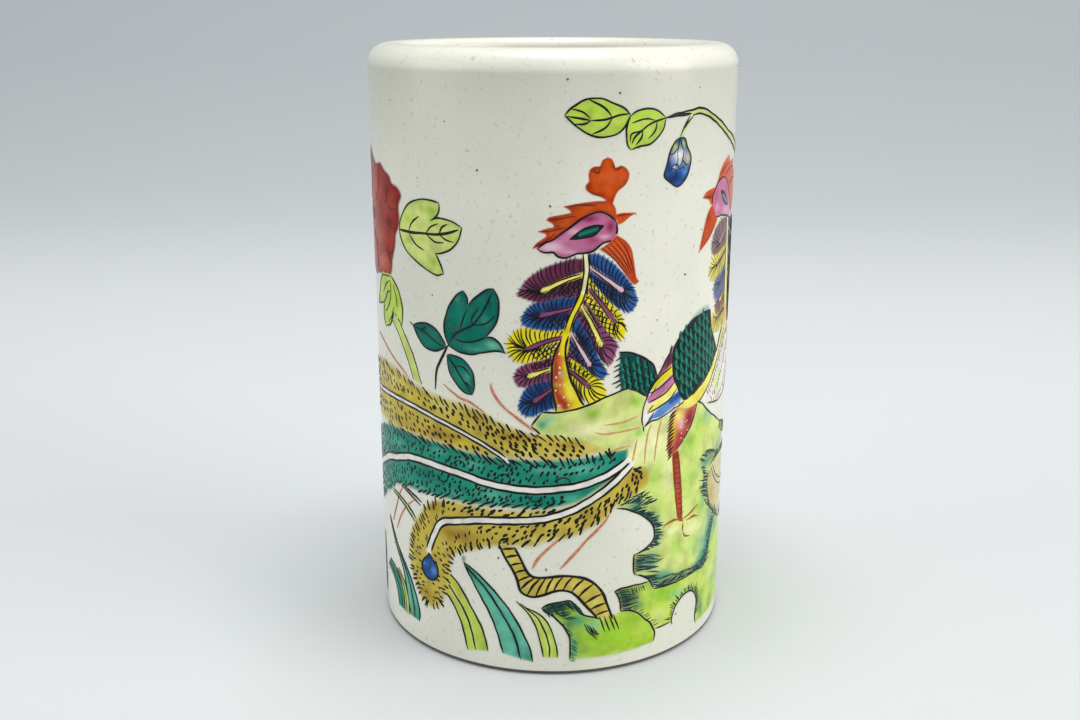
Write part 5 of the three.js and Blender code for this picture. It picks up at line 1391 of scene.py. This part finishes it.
makePot()
print("pot turned")
stackUp()
pieces = list(dict.fromkeys(motif.piece for motif in picture))
washed = washMaterial()
for piece in pieces:
    layWashes(piece, washed)
print("enamels laid")
brush = brushTree()
looks = {name: inkMaterial(name, *colours) for name, colours in inkColours.items()}
for piece in pieces:
    drawLines(piece, brush, looks)
print("lines drawn")


# The room.
room = {
    "half": 20.0,
    "front": -7.0,
    "back": 0.5,
    "bend": 1.0,
    "high": 2.3,
    # the paper's colours from front to back paint its light: painted light in the middle, painted shade at the back
    "near": (202, 205, 205),
    "middle": (208, 211, 212),
    "far": (190, 195, 197),
}


def hangPaper():
    turn = np.radians(np.linspace(0, 90, 17))
    profile = [(room["front"], 0.0)]
    profile += [(room["back"] + room["bend"] * math.sin(t), room["bend"] * (1 - math.cos(t))) for t in turn]
    profile.append((room["back"] + room["bend"], room["high"]))
    places = np.array([(x, y, z) for y, z in profile for x in (-room["half"], room["half"])])
    quads = np.array([(2 * k, 2 * k + 1, 2 * k + 3, 2 * k + 2) for k in range(len(profile) - 1)])
    mesh = makeMesh("paper", places, quads, np.ones(len(quads), bool))
    bench = Bench("paper")
    depth = bench.node("ShaderNodeSeparateXYZ", {}, bench.place(), out="Y")
    # painted light and shade: the paper's colour follows its depth, darker towards the back
    colour = bench.mix(bench.span(depth, -0.15, 0.15), linear(room["near"]), linear(room["middle"]))
    colour = bench.mix(bench.span(depth, 0.3, 0.9), colour, linear(room["far"]))
    mesh.materials.append(bench.surface(Base_Color=colour, Roughness=0.8))
    sheet = bpy.data.objects.new("paper", mesh)
    bpy.context.scene.collection.objects.link(sheet)


lamps = {
    "window": {"place": (1.5, -0.56, 0.6), "size": 1.2, "power": 17.8, "colour": (1.0, 0.99, 0.97)},
    "fill": {"place": (-1.6, -0.5, 0.44), "size": 1.2, "power": 9.6, "colour": (0.97, 0.99, 1.0)},
    "above": {"place": (0.02, -0.04, 0.95), "size": 0.5, "power": 6.2, "colour": (1.0, 1.0, 1.0)},
}


def hangLamps():
    for name, lamp in lamps.items():
        data = bpy.data.lights.new(name, "AREA")
        data.size = lamp["size"]
        data.energy = lamp["power"]
        data.color = lamp["colour"]
        made = bpy.data.objects.new(name, data)
        bpy.context.scene.collection.objects.link(made)
        made.location = lamp["place"]
        made.rotation_euler = (Vector((0, 0, 0.06)) - made.location).to_track_quat("-Z", "Y").to_euler()


def openSky():
    world = bpy.data.worlds.new("room light")
    bpy.context.scene.world = world
    world.use_nodes = True
    sky = world.node_tree.nodes["Background"].inputs
    sky[0].default_value = (0.93, 0.95, 0.98, 1)
    sky[1].default_value = 0.5


camera = {"place": (0.0, -0.2566, 0.1308), "down": 16.36, "turn": 0.58, "lens": 40.68, "sensor": 36.0}


def setCamera():
    view = bpy.data.cameras.new("view")
    view.sensor_width = camera["sensor"]
    view.lens = camera["lens"]
    view.clip_start = 0.01
    eye = bpy.data.objects.new("view", view)
    bpy.context.scene.collection.objects.link(eye)
    eye.location = camera["place"]
    eye.rotation_euler = (math.radians(90 - camera["down"]), 0, math.radians(camera["turn"]))
    bpy.context.scene.camera = eye


hangPaper()
hangLamps()
openSky()
setCamera()
bpy.context.scene.view_settings.view_transform = "Standard"
print("room ready")
